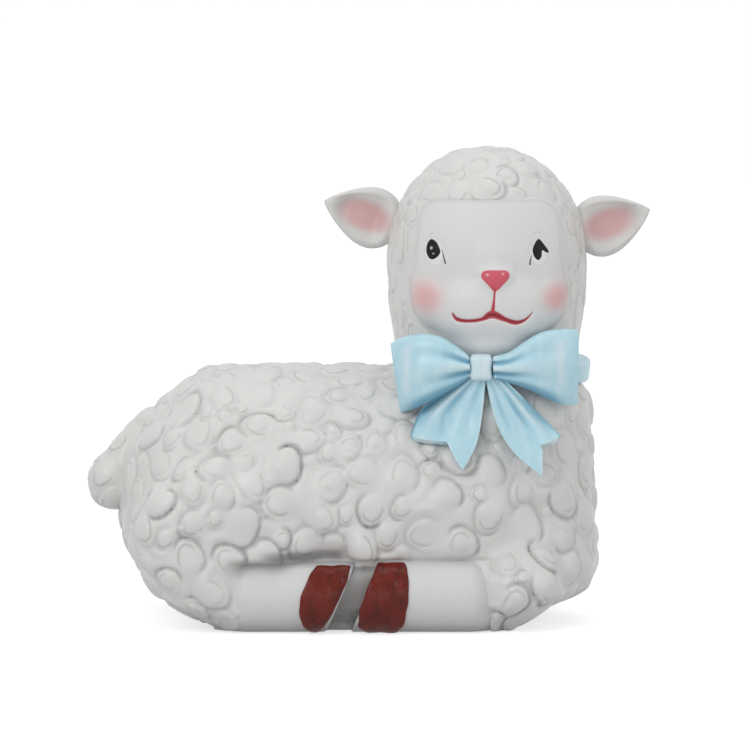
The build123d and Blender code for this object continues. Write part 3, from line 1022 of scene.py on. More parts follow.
    def carved(self, points: Array, curls: Sequence[Curl]) -> tuple[Array, Array, Array, Array]:
        """Lays all the locks over one another, the highest on top.

        Args:
            points: Points of the ground.
            curls: The locks.

        Returns:
            The rise and the cut at each point, and the upper lock's share of its radius and run of its line.
        """
        rise = np.zeros(len(points))
        cut = np.zeros(len(points))
        arc = np.full(len(points), self.NO_LOCK)
        arc_side = np.zeros(len(points))
        for curl in curls:
            offsets = points - curl.centre
            reach = curl.REACH * curl.radius * max(curl.stretch, 1.0)
            near = np.flatnonzero(np.einsum("ij,ij->i", offsets, offsets) < reach * reach)
            dome, groove, share, side = curl.carve(offsets[near])
            upper = dome > rise[near]
            arc[near[upper]] = share[upper]
            arc_side[near[upper]] = side[upper]
            rise[near] = np.maximum(rise[near], dome)
            cut[near] = np.maximum(cut[near], groove)
        cut = cut * (1.0 - self.FILLED_SHARE * smooth_step(*self.FILLED_RISE, rise / self.dome))
        return rise, cut, arc, arc_side

    def build(self, palette: Palette) -> None:
        """Blocks out, carves and paints the fleece.

        Args:
            palette: The finishes.
        """
        piece = self.ground()
        points = points_of(piece)
        normals = normals_of(piece)
        edges = edges_of(piece)
        curls = self.scatter(points, normals)
        rise, cut, arc, arc_side = self.carved(points, curls)
        line = arc_side * bell(arc, self.LINE_AT, self.LINE_WIDTH)
        waves = (self.swelling(points) - self.line_cut * line) * self.depth_at(points)
        height = evened(rise, edges, 1) - cut + waves
        # Grooves and cavities are marked for grey: thin grey paint and painted shade.
        hollow = np.clip(cut / self.FULL_CUT, 0.0, 1.0)
        dip = np.clip((evened(height, edges, self.DIP_ROUNDS) - height) / self.FULL_DIP, 0.0, 1.0)
        move_points(piece, self.shaped(points, normals, height))
        mark(piece, "hollow", evened(np.maximum(hollow, self.DIP_SHARE * dip), edges, 1))
        # Painted shade that does not follow the relief.
        mark(piece, "painted_shade", self.shade_painted(points))
        mark(piece, "arc", arc)
        mark(piece, "arc_side", arc_side)
        log.info("%s: %d locks", self.name, len(curls))
        palette.place(piece, Finish.FLEECE, self.node)


@dataclass(frozen=True)
class Push:
    """A soft push of part of the fleece along X, growing over a range of heights and of lengths."""

    heights: Span
    lengths: Span
    shift: float

    def at(self, points: Array) -> Array:
        """Shift along X at each point."""
        rise = smooth_step(*self.heights, points[:, 2])
        return self.shift * (rise * smooth_step(*self.lengths, points[:, 0]))


@dataclass(frozen=True)
class Seam:
    """Painted shade where the belly meets the top of a leg, over a stretch of X that fades at both ends."""

    rear: Span
    front: Span
    share: float

    def at(self, points: Array) -> Array:
        """Strength of the painted shade at each point."""
        return self.share * (smooth_step(*self.rear, points[:, 0]) * smooth_step(*self.front, points[:, 0]))


@dataclass
class BodyFleece(Fleece):
    """The body: barrel, chest, haunches, elbows and the webs between the hooves."""

    inset: float = 0.45
    barrel_radius: float = 33.0
    barrel_z: float = 28.5
    rump_end: float = -60.5
    rump_cap: float = 26.0
    breast_end: float = 47.0
    breast_cap: float = 22.0
    chest_axis: Span = (28.4, -4.0)
    chest_radius: float = 26.4
    chest_widest: float = 13.0
    chest_below: float = 1.0
    neck_radius: float = 20.6
    neck_top: float = 66.0
    neck_hidden: float = 2.0
    mane_top: float = 55.0
    mane_lean: Span = (2.4, 1.6)
    mane_slimmer: Span = (1.6, 2.9)
    mane_dome: float = 6.0
    haunch: Point = (-36.5, 36.8, 20.5)
    haunch_radius: float = 21.0
    haunch_round: float = 10.0
    hock: Point = (-38.4, 27.2, 8.8)
    hock_half: Point = (9.2, 9.4, 9.2)
    elbow: Point = (35.4, 24.4, 10.0)
    elbow_half: Point = (11.0, 12.0, 11.2)
    web_x: float = -3.7
    web_half: float = 7.0
    web_front: float = 33.0
    web_top: float = 15.0
    web_below: float = 2.0
    web_margin: float = 2.0
    web_over: float = 1.0
    web_seen_y: float = 27.0
    web_foot_y: float = 26.4
    web_slope: float = 1.1
    arch_half: float = 3.9
    arch_x: float = -6.6
    arch_height: float = 2.4
    arch_back: float = 25.0
    leg_y: float = 28.2
    leg_half: float = 8.0
    leg_top: float = 17.4
    leg_ends: Span = (-31.5, 29.0)
    leg_end_fade: Span = (3.0, 1.5)
    leg_top_fade: Span = (0.6, 1.4)
    leg_back_y: float = 20.0
    leg_sunk: float = 1.2
    sole: float = 1.5
    saw_below: float = 0.6
    back_fade: Span = (50.0, 58.0)
    rump_fade: Span = (-47.0, -57.0)
    breast_fade: Span = (44.0, 52.0)
    shallow: float = 0.45
    shallow_ends: float = 0.8
    gap_lock: Point = (-1.5, 32.0, 20.4)
    gap_lock_tilt: Span = (0.97, 0.24)
    low_rump: Push = Push((24.0, 6.0), (-42.0, -52.0), 2.7)
    high_rump: Push = Push((40.0, 54.0), (-30.0, -46.0), 2.5)
    foot_heights: Span = (7.0, 0.0)
    foot_narrow: float = 0.1
    end_heights: Span = (9.0, 0.0)
    end_lengths: Span = (26.0, 36.0)
    end_narrow: Span = (0.12, 0.14)
    # Painted shade on the webs between the hooves, darker towards the floor:
    web_shade: Span = (0.7, 0.3)
    web_shade_heights: Span = (13.0, 4.0)
    # Painted shade in the crease where the belly meets the legs:
    seam_over: float = 1.2
    seam_width: float = 1.7
    seam_y: float = 24.0
    hind_seam: Seam = Seam((-30.0, -22.0), (-3.0, -8.0), 0.85)
    fore_seam: Seam = Seam((4.0, 8.0), (30.0, 22.0), 0.35)

    def ground(self) -> Piece:
        """Joins barrel, chest, thighs and elbows, and rubs the joins soft.

        Returns:
            The ground of the body, sawn flat below.
        """
        rear = self.rump_end + self.rump_cap
        front = self.breast_end - self.breast_cap
        slim = self.barrel_radius - self.inset
        x, y = self.chest_axis
        chest = self.chest_radius - self.inset
        mane_foot, mane_crown = [x + lean for lean in self.mane_lean]
        mane_wide, mane_slim = [chest - less for less in self.mane_slimmer]
        shapes = [
            ball((rear, 0, self.barrel_z), (self.rump_cap - self.inset, slim, slim)),
            rod((rear, 0, self.barrel_z), (front, 0, self.barrel_z), slim),
            ball((front, 0, self.barrel_z), (self.breast_cap - self.inset, slim, slim)),
            ball((x, y, self.chest_widest), (chest, chest, self.chest_widest + self.chest_below)),
            rod((x, y, self.chest_widest), (x, y, self.neck_top), chest, self.neck_radius - self.inset),
            rod((mane_foot, y, self.chest_widest), (mane_crown, y, self.mane_top), mane_wide, mane_slim),
            ball((mane_crown, y, self.mane_top), (mane_slim, mane_slim, self.mane_dome)),
            self.thighs(),
        ]
        for side in (-1, 1):
            shapes.append(ball((self.elbow[0], side * self.elbow[1], self.elbow[2]), self.elbow_half))
            shapes.append(ball((self.hock[0], side * self.hock[1], self.hock[2]), self.hock_half))
            low_y, high_y = sorted((side * self.leg_back_y, side * self.web_front))
            shapes.append(block((self.web_x - self.web_half, low_y, -self.web_below),
                                (self.web_x + self.web_half, high_y, self.web_top)))
        piece = fuse(joined(shapes, self.name), 2 * self.voxel, 10)
        return cut_away(fuse(piece, self.voxel, 4), (0.0, 0.0, -self.saw_below), (0.0, 0.0, -1.0))

    def thighs(self) -> Piece:
        """Both thighs, as one drum across the body with rounded ends."""
        x, half, z = self.haunch
        drum = rod((x, -half + self.inset, z), (x, half - self.inset, z), self.haunch_radius - self.inset)
        return finish_with(drum, "BEVEL", width=self.haunch_round * MM, segments=8, limit_method="ANGLE")

    def in_web(self, points: Array) -> Array:
        """Places on the webs between the hooves."""
        inside = np.abs(points[:, 0] - self.web_x) < self.web_half + self.web_margin
        low = points[:, 2] < self.web_top + self.web_over
        return inside & low & (np.abs(points[:, 1]) > self.web_seen_y)

    def under_arch(self, points: Array) -> Array:
        """Places on the webs' fronts inside the low arch between the hooves."""
        arch = self.arch_height * half_round((points[:, 0] - self.arch_x) / self.arch_half)
        return self.in_web(points) & (points[:, 2] < arch)

    def by_leg(self, points: Array) -> Array:
        """How far a place counts as lying behind a smooth leg, from 0 to 1.

        Args:
            points: The places.

        Returns:
            The share at each place.
        """
        first, last = self.leg_ends
        outside, inside = self.leg_end_fade
        above, below = self.leg_top_fade
        rear = smooth_step(first - outside, first + inside, points[:, 0])
        front = smooth_step(last + outside, last - inside, points[:, 0])
        return rear * front * smooth_step(self.leg_top + above, self.leg_top - below, points[:, 2])

    def bare(self, points: Array) -> Array:
        """The underside, the webs, what lies behind the legs and the neck's inside carry no lock."""
        hidden = (self.by_leg(points) > 0.3) & (np.abs(points[:, 1]) > self.leg_back_y)
        low_or_high = (points[:, 2] < self.sole) | (points[:, 2] > self.neck_top - self.neck_hidden)
        return low_or_high | self.in_web(points) | hidden

    def depth_at(self, points: Array) -> Array:
        """Full relief on the flanks, shallow on the back, the rump's slope and the chest's right."""
        back = smooth_step(*self.back_fade, points[:, 2])
        rump = self.shallow_ends * smooth_step(*self.rump_fade, points[:, 0])
        breast = self.shallow_ends * smooth_step(*self.breast_fade, points[:, 0])
        return 1.0 - self.shallow * np.maximum(np.maximum(back, rump), breast)

    def chosen(self) -> list[Curl]:
        """The large lock over the gap between the hooves, on both sides.

        Returns:
            The two locks.
        """
        x, y, z = self.gap_lock
        level, drop = self.gap_lock_tilt
        locks = []
        for side in (-1, 1):
            normal = np.array((0.0, side * level, -drop))
            along = np.array((0.0, side * drop, level))
            locks.append(Curl(np.array((x, side * y, z)), along, np.cross(normal, along), radius=3.5,
                              height=2.6, depth=0.5, lock=Lock.BEAD, stretch=1.3, turn=math.pi))
        return locks

    def shaped(self, points: Array, normals: Array, height: Array) -> Array:
        """Presses the fleece in behind the legs, draws rump and feet in, and flattens webs and underside.

        Args:
            points: Points of the ground.
            normals: Outward directions at those points.
            height: Height of the relief at those points.

        Returns:
            The finished points.
        """
        carved = points + normals * height[:, None]
        share = np.clip((carved[:, 2] - self.leg_top / 2) / (self.leg_top / 2), 0.0, 1.0)
        front = self.leg_y + self.leg_half * half_round(share) - self.leg_sunk
        over = np.maximum(np.abs(carved[:, 1]) - front, 0.0) * self.by_leg(carved)
        carved[:, 1] -= np.sign(carved[:, 1]) * over
        carved[:, 0] += self.low_rump.at(carved) + self.high_rump.at(carved)
        foot = smooth_step(*self.foot_heights, carved[:, 2])
        rear_narrow, front_narrow = self.end_narrow
        narrow = np.where(carved[:, 0] > 0.0, front_narrow, rear_narrow)
        narrow = narrow * smooth_step(*self.end_heights, carved[:, 2])
        carved[:, 0] *= 1.0 - narrow * smooth_step(*self.end_lengths, np.abs(carved[:, 0]))
        carved[:, 1] *= 1.0 - self.foot_narrow * foot * (1.0 - self.by_leg(carved))
        web_face = self.web_foot_y + self.web_slope * np.maximum(carved[:, 2], 0.0)
        deepest = np.where(self.in_web(carved), web_face, np.inf)
        deepest = np.where(self.under_arch(carved), self.arch_back, deepest)
        carved[:, 1] = np.clip(carved[:, 1], -deepest, deepest)
        carved[:, 2] = np.maximum(carved[:, 2], 0.0)
        return carved

    def shade_painted(self, points: Array) -> Array:
        """Painted shade on the webs, darker towards the floor, and where the belly meets the tops of the
        legs.

        Args:
            points: Points of the ground.

        Returns:
            The strength of the painted shade at each point.
        """
        top_share, foot_share = self.web_shade
        grey = top_share + foot_share * smooth_step(*self.web_shade_heights, points[:, 2])
        web = self.in_web(points) * grey
        web[self.under_arch(points)] = 0.0
        # Painted shade in the crease over each leg.
        level = bell(points[:, 2] - self.leg_top, self.seam_over, self.seam_width)
        seam = level * (np.abs(points[:, 1]) > self.seam_y)
        return np.clip(web + seam * (self.hind_seam.at(points) + self.fore_seam.at(points)), 0.0, 1.0)


@dataclass
class HeadFleece(Fleece):
    """The hood of fleece round the face."""

    inset: float = 0.2
    crown_height: float = 26.0
    jaw_z: float = 78.0
    neck_z: float = 61.0
    neck_radius: float = 21.0
    recess: float = 3.2
    rim: float = 0.12
    rim_width: float = 1.4
    # Painted shade along the face's edge:
    hood_rim_shade: float = 0.36
    hood_rim_shade_width: float = 0.6
    face_margin: float = 1.5
    neck_margin: float = 1.0
    side_depth: float = 0.5
    crown_depth: float = 0.15
    crown_fade: Span = (98.0, 106.0)
    side_stretch: float = 1.7
    swirls: Sequence[Point] = ((28.3, -21.8, 106.2, 3.9, 3.6), (33.0, -18.6, 109.0, 3.2, 5.0))
    swirl_centre: Point = (28.4, -4.0, 88.2)
    swirl_flatter: float = 0.85

    BEHIND: ClassVar[float] = 50.0

    def axis(self) -> tuple[float, float, float]:
        """Place and radius of the hood's upright axis."""
        box = Solid.of("head")
        radius = box.size[0] / 2
        return box.middle[0], box.high[1] - radius, radius

    def ground(self) -> Piece:
        """Joins the crown, the straight sides and the jaw.

        Returns:
            The ground of the hood.
        """
        x, y, radius = self.axis()
        top = Solid.of("head").high[2]
        slim = radius - self.inset
        shoulder = top - self.crown_height
        shapes = [
            ball((x, y, shoulder), (slim, slim, self.crown_height - self.inset)),
            rod((x, y, self.jaw_z), (x, y, shoulder), slim),
            rod((x, y, self.neck_z), (x, y, self.jaw_z), self.neck_radius - self.inset, slim),
        ]
        piece = fuse(joined(shapes, self.name), 2 * self.voxel, 8)
        return fuse(piece, self.voxel, 2)

    def face_gap(self, points: Array) -> Array:
        """Distance from the face's outline, negative where the face shows."""
        gap = outline_distance(points[:, (0, 2)] - (FACE_X, 0.0), face_outline())
        return np.where(points[:, 1] < self.axis()[1], gap, self.BEHIND)

    def bare(self, points: Array) -> Array:
        """No lock sits in the face's opening or under the head."""
        return (self.face_gap(points) < self.face_margin) | (points[:, 2] < self.neck_z + self.neck_margin)

    def depth_at(self, points: Array) -> Array:
        """Shallow locks, fuller at the crown."""
        return self.side_depth + self.crown_depth * smooth_step(*self.crown_fade, points[:, 2])

    def lie(self, centre: Array) -> tuple[Array, float]:
        """Locks hang down the sides of the head and lie any way on the crown."""
        return UP, self.side_stretch if centre[2] < self.crown_fade[0] else 1.0

    def chosen(self) -> list[Curl]:
        """The two swirls over the brow.

        Returns:
            The two locks.
        """
        locks = []
        for x, y, z, radius, turn in self.swirls:
            centre = np.array((x, y, z))
            normal = centre - self.swirl_centre
            normal[2] *= self.swirl_flatter
            normal /= np.linalg.norm(normal)
            along = UP - normal * normal[2]
            along /= np.linalg.norm(along)
            locks.append(Curl(centre, along, np.cross(normal, along), radius, height=0.6, depth=0.4,
                              lock=Lock.COIL, stretch=1.0, turn=turn))
        return locks

    def shaped(self, points: Array, normals: Array, height: Array) -> Array:
        """Sinks the face's opening into the hood and leaves a soft rim round it.

        Args:
            points: Points of the ground.
            normals: Outward directions at those points.
            height: Height of the relief at those points.

        Returns:
            The finished points.
        """
        gap = self.face_gap(points)
        calm = smooth_step(0.0, 3.0, gap)
        lip = self.rim * bell(gap, self.rim_width, self.rim_width)
        sunk = self.recess * smooth_step(0.4, -1.0, gap)
        return points + normals * (height * calm + lip - sunk)[:, None]

    def shade_painted(self, points: Array) -> Array:
        """A faint line of painted shade along the edge of the face."""
        return self.hood_rim_shade * bell(self.face_gap(points), 0.0, self.hood_rim_shade_width)


@dataclass
class TailFleece(Fleece):
    """The tail, a drop of fleece that hangs down the slope of the rump."""

    tip: Point = (-61.2, 0.0, 33.2)
    tip_half: Point = (6.2, 6.6, 7.0)
    root: Point = (-51.4, 0.0, 45.0)
    root_radius: float = 5.8
    shallow: float = 0.3

    def ground(self) -> Piece:
        """Joins the hanging drop and its root."""
        shapes = [ball(self.tip, self.tip_half), ball(self.root, [self.root_radius] * 3),
                  rod(self.tip, self.root, self.tip_half[0], self.root_radius)]
        return fuse(joined(shapes, self.name), self.voxel, 12)

    def depth_at(self, points: Array) -> Array:
        """Shallow locks all over."""
        return np.full(len(points), self.shallow)


# Face

FACE_X = 28.7


def face_outline() -> Array:
    """Outline of the face, from the brow round the cheeks to the chin, counted from its middle.

    Returns:
        Points along the outline, one row each.
    """
    half = [(8.0, 102.7), (12.4, 102.4), (14.9, 101.1), (16.3, 98.4), (16.9, 93.5), (17.2, 88.6),
            (18.2, 84.2), (18.5, 80.0), (17.2, 74.6), (13.4, 70.0), (7.0, 66.4)]
    left = [(-x, z) for x, z in reversed(half)]
    return smooth_curve([(0.0, 102.7), *half, (0.0, 65.6), *left], 4, closed=True)


@dataclass(frozen=True)
class Patch:
    """A painted patch with a smooth outline."""

    corners: Sequence[Point]

    def distance(self, places: Array) -> Array:
        """Distance to the patch's edge, negative inside it."""
        return outline_distance(places, smooth_curve(self.corners, 4, closed=True))


@dataclass(frozen=True)
class Dab:
    """An oval dab of paint."""

    centre: Point
    half: Point

    def distance(self, places: Array) -> Array:
        """Distance to the dab's edge, near enough for paint, negative inside it."""
        share = np.hypot((places[:, 0] - self.centre[0]) / self.half[0],
                         (places[:, 1] - self.centre[1]) / self.half[1])
        return (share - 1.0) * min(self.half)


@dataclass(frozen=True)
class Stroke:
    """A brush stroke through a few points, with its half width along the way."""

    points: Sequence[Point]
    half_widths: Sequence[float]

    def distance(self, places: Array) -> Array:
        """Distance to the stroke's edge, negative inside it."""
        curve = smooth_curve(self.points, 5)
        given = np.linspace(0, 1, len(self.half_widths))
        widths = np.interp(np.linspace(0, 1, len(curve)), given, self.half_widths)
        return stroke_distance(places, curve, widths)


MOUTH: Sequence[Point] = ((-8.8, 76.2), (-7.6, 74.8), (-4.8, 74.5), (-1.7, 75.0), (0.8, 76.2),
                          (4.0, 74.9), (6.5, 74.1), (8.7, 74.7), (10.5, 76.4))
MOUTH_HALF: Sequence[float] = (0.22, 0.5, 0.42, 0.44, 1.0, 0.56, 0.58, 0.32, 0.08)

# Features, counted from the middle of the face
FEATURES: dict[str, Sequence[Patch | Dab | Stroke]] = {
    "eye_black": (
        Patch(((-13.7, 93.6), (-12.5, 92.9), (-11.7, 91.4), (-11.6, 90.4), (-12.3, 89.4),
               (-13.4, 88.8), (-14.3, 89.1), (-14.9, 90.3), (-14.9, 91.8), (-14.5, 92.9))),
        Patch(((11.6, 93.6), (12.3, 93.5), (13.2, 92.4), (14.4, 90.6), (13.7, 90.4),
               (12.7, 91.0), (12.5, 89.5), (11.7, 88.7), (10.7, 89.8), (10.5, 91.6)))),
    "eye_white": (Dab((-13.0, 90.2), (2.0, 2.6)), Dab((12.1, 90.2), (2.0, 2.6))),
    "eye_lash": (Stroke(((-11.3, 91.6), (-10.9, 89.8), (-10.4, 88.0)), (0.05, 0.16, 0.22)),
                 Stroke(((10.3, 90.2), (10.0, 89.0), (9.8, 87.8)), (0.06, 0.16, 0.24))),
    "eye_lid": (Stroke(((-13.9, 94.8), (-13.2, 95.1)), (0.1, 0.1)),
                Stroke(((10.4, 94.9), (11.4, 95.4), (12.6, 95.1)), (0.08, 0.1, 0.08))),
    # Painted highlights in the eyes.
    "eye_glint": (Dab((-13.7, 91.5), (0.36, 0.42)), Dab((-13.2, 90.2), (0.3, 0.2))),
    "nose": (Patch(((-1.1, 86.5), (1.5, 86.7), (4.2, 86.5), (4.8, 85.1),
                    (3.3, 83.3), (1.4, 81.7), (-0.3, 83.4), (-1.8, 85.1))),),
    # Painted highlights on the nose.
    "nose_shine": (Dab((-0.3, 85.6), (0.34, 0.3)), Dab((3.2, 85.8), (0.3, 0.26))),
    "lip": (Stroke(MOUTH, MOUTH_HALF),
            Stroke(((1.4, 82.2), (1.2, 79.6), (0.9, 77.0)), (0.24, 0.26, 0.52))),
    "lip_dark": (Stroke(MOUTH, [0.42 * half - 0.05 for half in MOUTH_HALF]),),
    "crease": (Stroke(((-2.4, 85.2), (-4.4, 84.2), (-6.3, 82.6)), (0.1, 0.16, 0.1)),),
}


@dataclass
class Face:
    """The smooth face: skull, muzzle, chin, nose bridge, nose and cheeks, with painted features."""

    name: str = "face_painted"
    back: float = -8.0
    front: float = -12.0
    voxel: float = 0.3
    masses: Sequence[tuple[Point, Point]] = (
        ((0.0, -5.2, 86.5), (24.0, 22.4, 28.2)),
        ((0.6, -20.0, 77.4), (15.2, 10.4, 11.4)),
        ((0.4, -16.0, 70.4), (12.8, 12.2, 8.8)),
        ((0.8, -17.4, 87.6), (12.0, 11.0, 13.0)),
        ((1.4, -27.0, 84.2), (4.8, 3.2, 4.0)),
        ((-10.0, -17.0, 79.6), (9.0, 8.6, 9.6)),
        ((10.0, -17.0, 79.6), (9.0, 8.6, 9.6)),
    )
    relief: Sequence[tuple[str, float, Span]] = (
        ("nose", 0.4, (0.5, -0.8)),
        ("lip", -0.4, (0.5, -0.3)),
        ("crease", -0.16, (0.7, 0.0)),
        ("eye_white", -0.14, (1.8, 0.2)),
        ("eye_white", 0.22, (0.6, -1.4)),
    )
    tuck: float = 3.4
    tuck_range: Span = (0.4, 3.0)
    # Painted shade along the face's rim and beside the lips:
    face_rim_shade: float = 0.45
    face_rim_shade_width: float = 0.55
    lip_shade: float = 0.2
    cheeks: Sequence[Point] = ((-15.0, 79.8, 4.2), (16.3, 79.8, 3.6))

    AWAY: ClassVar[float] = 9.0

    def ground(self) -> Piece:
        """Joins the rounded masses of the face and rubs the joins soft."""
        shapes = [ball((FACE_X + x, y, z), half) for (x, y, z), half in self.masses]
        piece = fuse(joined(shapes, self.name), 2 * self.voxel, 22)
        return cut_away(fuse(piece, self.voxel, 6), (FACE_X, self.back, 0.0), (0.0, 1.0, 0.0))

    def build(self, palette: Palette) -> None:
        """Models and paints the face.

        Args:
            palette: The finishes.
        """
        piece = self.ground()
        points = points_of(piece)
        places = points[:, (0, 2)] - (FACE_X, 0.0)
        seen = points[:, 1] < self.front
        gaps = {}
        for name, shapes in FEATURES.items():
            nearest = np.minimum.reduce([shape.distance(places) for shape in shapes])
            gaps[name] = np.where(seen, nearest, self.AWAY)
        edge = outline_distance(places, face_outline())
        height = -self.tuck * smooth_step(*self.tuck_range, edge)
        for name, rise, run in self.relief:
            height = height + rise * smooth_step(*run, gaps[name])
        move_points(piece, points + normals_of(piece) * height[:, None])
        for name, gap in gaps.items():
            mark(piece, name, gap)
        mark(piece, "blush", np.where(seen, self.blush(places), 0.0))
        # Painted shade along the edge of the face and round the mouth.
        darkening = self.face_rim_shade * bell(edge, 0.0, self.face_rim_shade_width)
        darkening = darkening + self.lip_shade * smooth_step(1.0, 0.0, gaps["lip"])
        mark(piece, "hollow", np.clip(darkening, 0.0, 1.0))
        palette.place(piece, Finish.FACE, "face")

    def blush(self, places: Array) -> Array:
        """Strength of the pink rubbed on the cheeks."""
        total = np.zeros(len(places))
        for x, z, radius in self.cheeks:
            total += np.exp(-((places[:, 0] - x) ** 2 + (places[:, 1] - z) ** 2) / radius ** 2)
        return np.clip(total, 0.0, 1.0)


# Pieces that are pulled out of a ball

class Side(Enum):
    """The two sides of the figure, with the way in which each lies along X."""

    LEFT = -1
    RIGHT = 1

    @property
    def word(self) -> str:
        """The side's word in the name of a piece."""
        return self.name.lower()


def pulled(name: str, segments: int, shape: Callable[[Array, Array], Array]) -> Piece:
    """Pulls a ball into a long form.

    Args:
        name: Name of the piece.
        segments: Faces round the ball.
        shape: Gives the place of each point from its share along the form and its angle round it.

    Returns:
        The new piece, closed at both ends.
    """
    piece = joined([ball((0, 0, 0), (1, 1, 1), segments)], name)
    unit = points_of(piece)
    share = np.arccos(np.clip(-unit[:, 2], -1.0, 1.0)) / math.pi
    move_points(piece, shape(share, np.arctan2(unit[:, 1], unit[:, 0])))
    turn_outward(piece)
    return piece


@dataclass
class Ear:
    """A cupped leaf of an ear."""

    side: Side
    length: float = 19.8
    width: float = 13.2
    thick: float = 5.2
    lift: float = 19.0
    cup: float = 3.4
    root_y: float = -3.4
    root_z: float = 93.4
    root_step: float = 1.0
    root_inset: float = 3.6

    SEGMENTS: ClassVar[int] = 96
    WIDEST_POWER: ClassVar[float] = 0.7
    BLUNT_POWER: ClassVar[float] = 0.75
    THICK_AT: ClassVar[Point] = (0.0, 0.2, 0.5, 0.85, 1.0)
    THICK_SHARE: ClassVar[Point] = (0.0, 1.0, 0.9, 0.45, 0.0)
    CUP_WIDTH: ClassVar[float] = 0.82
    CUP_ROOT: ClassVar[Span] = (0.1, 0.35)
    CUP_TIP: ClassVar[Span] = (0.95, 0.7)
    BACK_PRESS: ClassVar[float] = 0.5
    DROOP: ClassVar[float] = 0.12
    PINK_FULL: ClassVar[float] = 1.15
    PINK_AT: ClassVar[float] = 0.46
    PINK_HALF: ClassVar[Span] = (0.4, 0.7)

    @property
    def root(self) -> Array:
        """Foot of the ear's middle line, inside the head."""
        head = Solid.of("head")
        edge = head.low[0] if self.side is Side.LEFT else head.high[0]
        return np.array((edge - self.side.value * self.root_inset, self.root_y,
                         self.root_z - self.side.value * self.root_step))

    @property
    def along(self) -> Array:
        """Direction from the root to the tip."""
        angle = math.radians(self.lift)
        return np.array((self.side.value * math.cos(angle), 0.0, math.sin(angle)))

    @property
    def up(self) -> Array:
        """Direction across the leaf, upwards."""
        angle = math.radians(self.lift)
        return np.array((-self.side.value * math.sin(angle), 0.0, math.cos(angle)))

    def leaf(self, share: Array, turn: Array) -> Array:
        """Places of the leaf's points.

        Args:
            share: Share of the way from the root to the tip.
            turn: Angle round the ear's middle line.

        Returns:
            The points, one row each.
        """
        width = np.sin(math.pi * share ** self.WIDEST_POWER).clip(0.0, 1.0) ** self.BLUNT_POWER
        thick = np.interp(share, self.THICK_AT, self.THICK_SHARE)
        across = np.sin(turn) * width
        front = np.cos(turn) * thick
        middle = np.clip(1.0 - (np.abs(across) / np.maximum(width, 0.05) / self.CUP_WIDTH) ** 2, 0.0, 1.0)
        press = self.cup * middle * (smooth_step(*self.CUP_ROOT, share) * smooth_step(*self.CUP_TIP, share))
        y = front * self.thick / 2 - np.where(front > 0, press, self.BACK_PRESS * press)
        droop = self.DROOP * across * across * np.sign(across)
        middle_line = self.root + np.outer(share * self.length, self.along)
        base = middle_line + np.outer((across + droop) * self.width / 2, self.up)
        return base - np.outer(y, (0.0, 1.0, 0.0))

    def build(self, palette: Palette) -> None:
        """Pulls the leaf out of a ball, presses the cup in and paints it.

        Args:
            palette: The finishes.
        """
        piece = pulled(f"ear_{self.side.word}_cup", self.SEGMENTS, self.leaf)
        unit = points_of(piece) - self.root
        share = unit @ self.along / self.length
        across = np.abs(unit @ self.up) / (self.width / 2)
        facing = smooth_step(0.1, -0.3, normals_of(piece)[:, 1])
        half_length, half_width = self.PINK_HALF
        pink = self.PINK_FULL - (across / half_width) ** 2 - ((share - self.PINK_AT) / half_length) ** 2
        mark(piece, "cup", np.clip(pink, 0.0, 1.0) * facing)
        palette.place(piece, Finish.EAR, f"ear_{self.side.word}")


# Legs and hooves

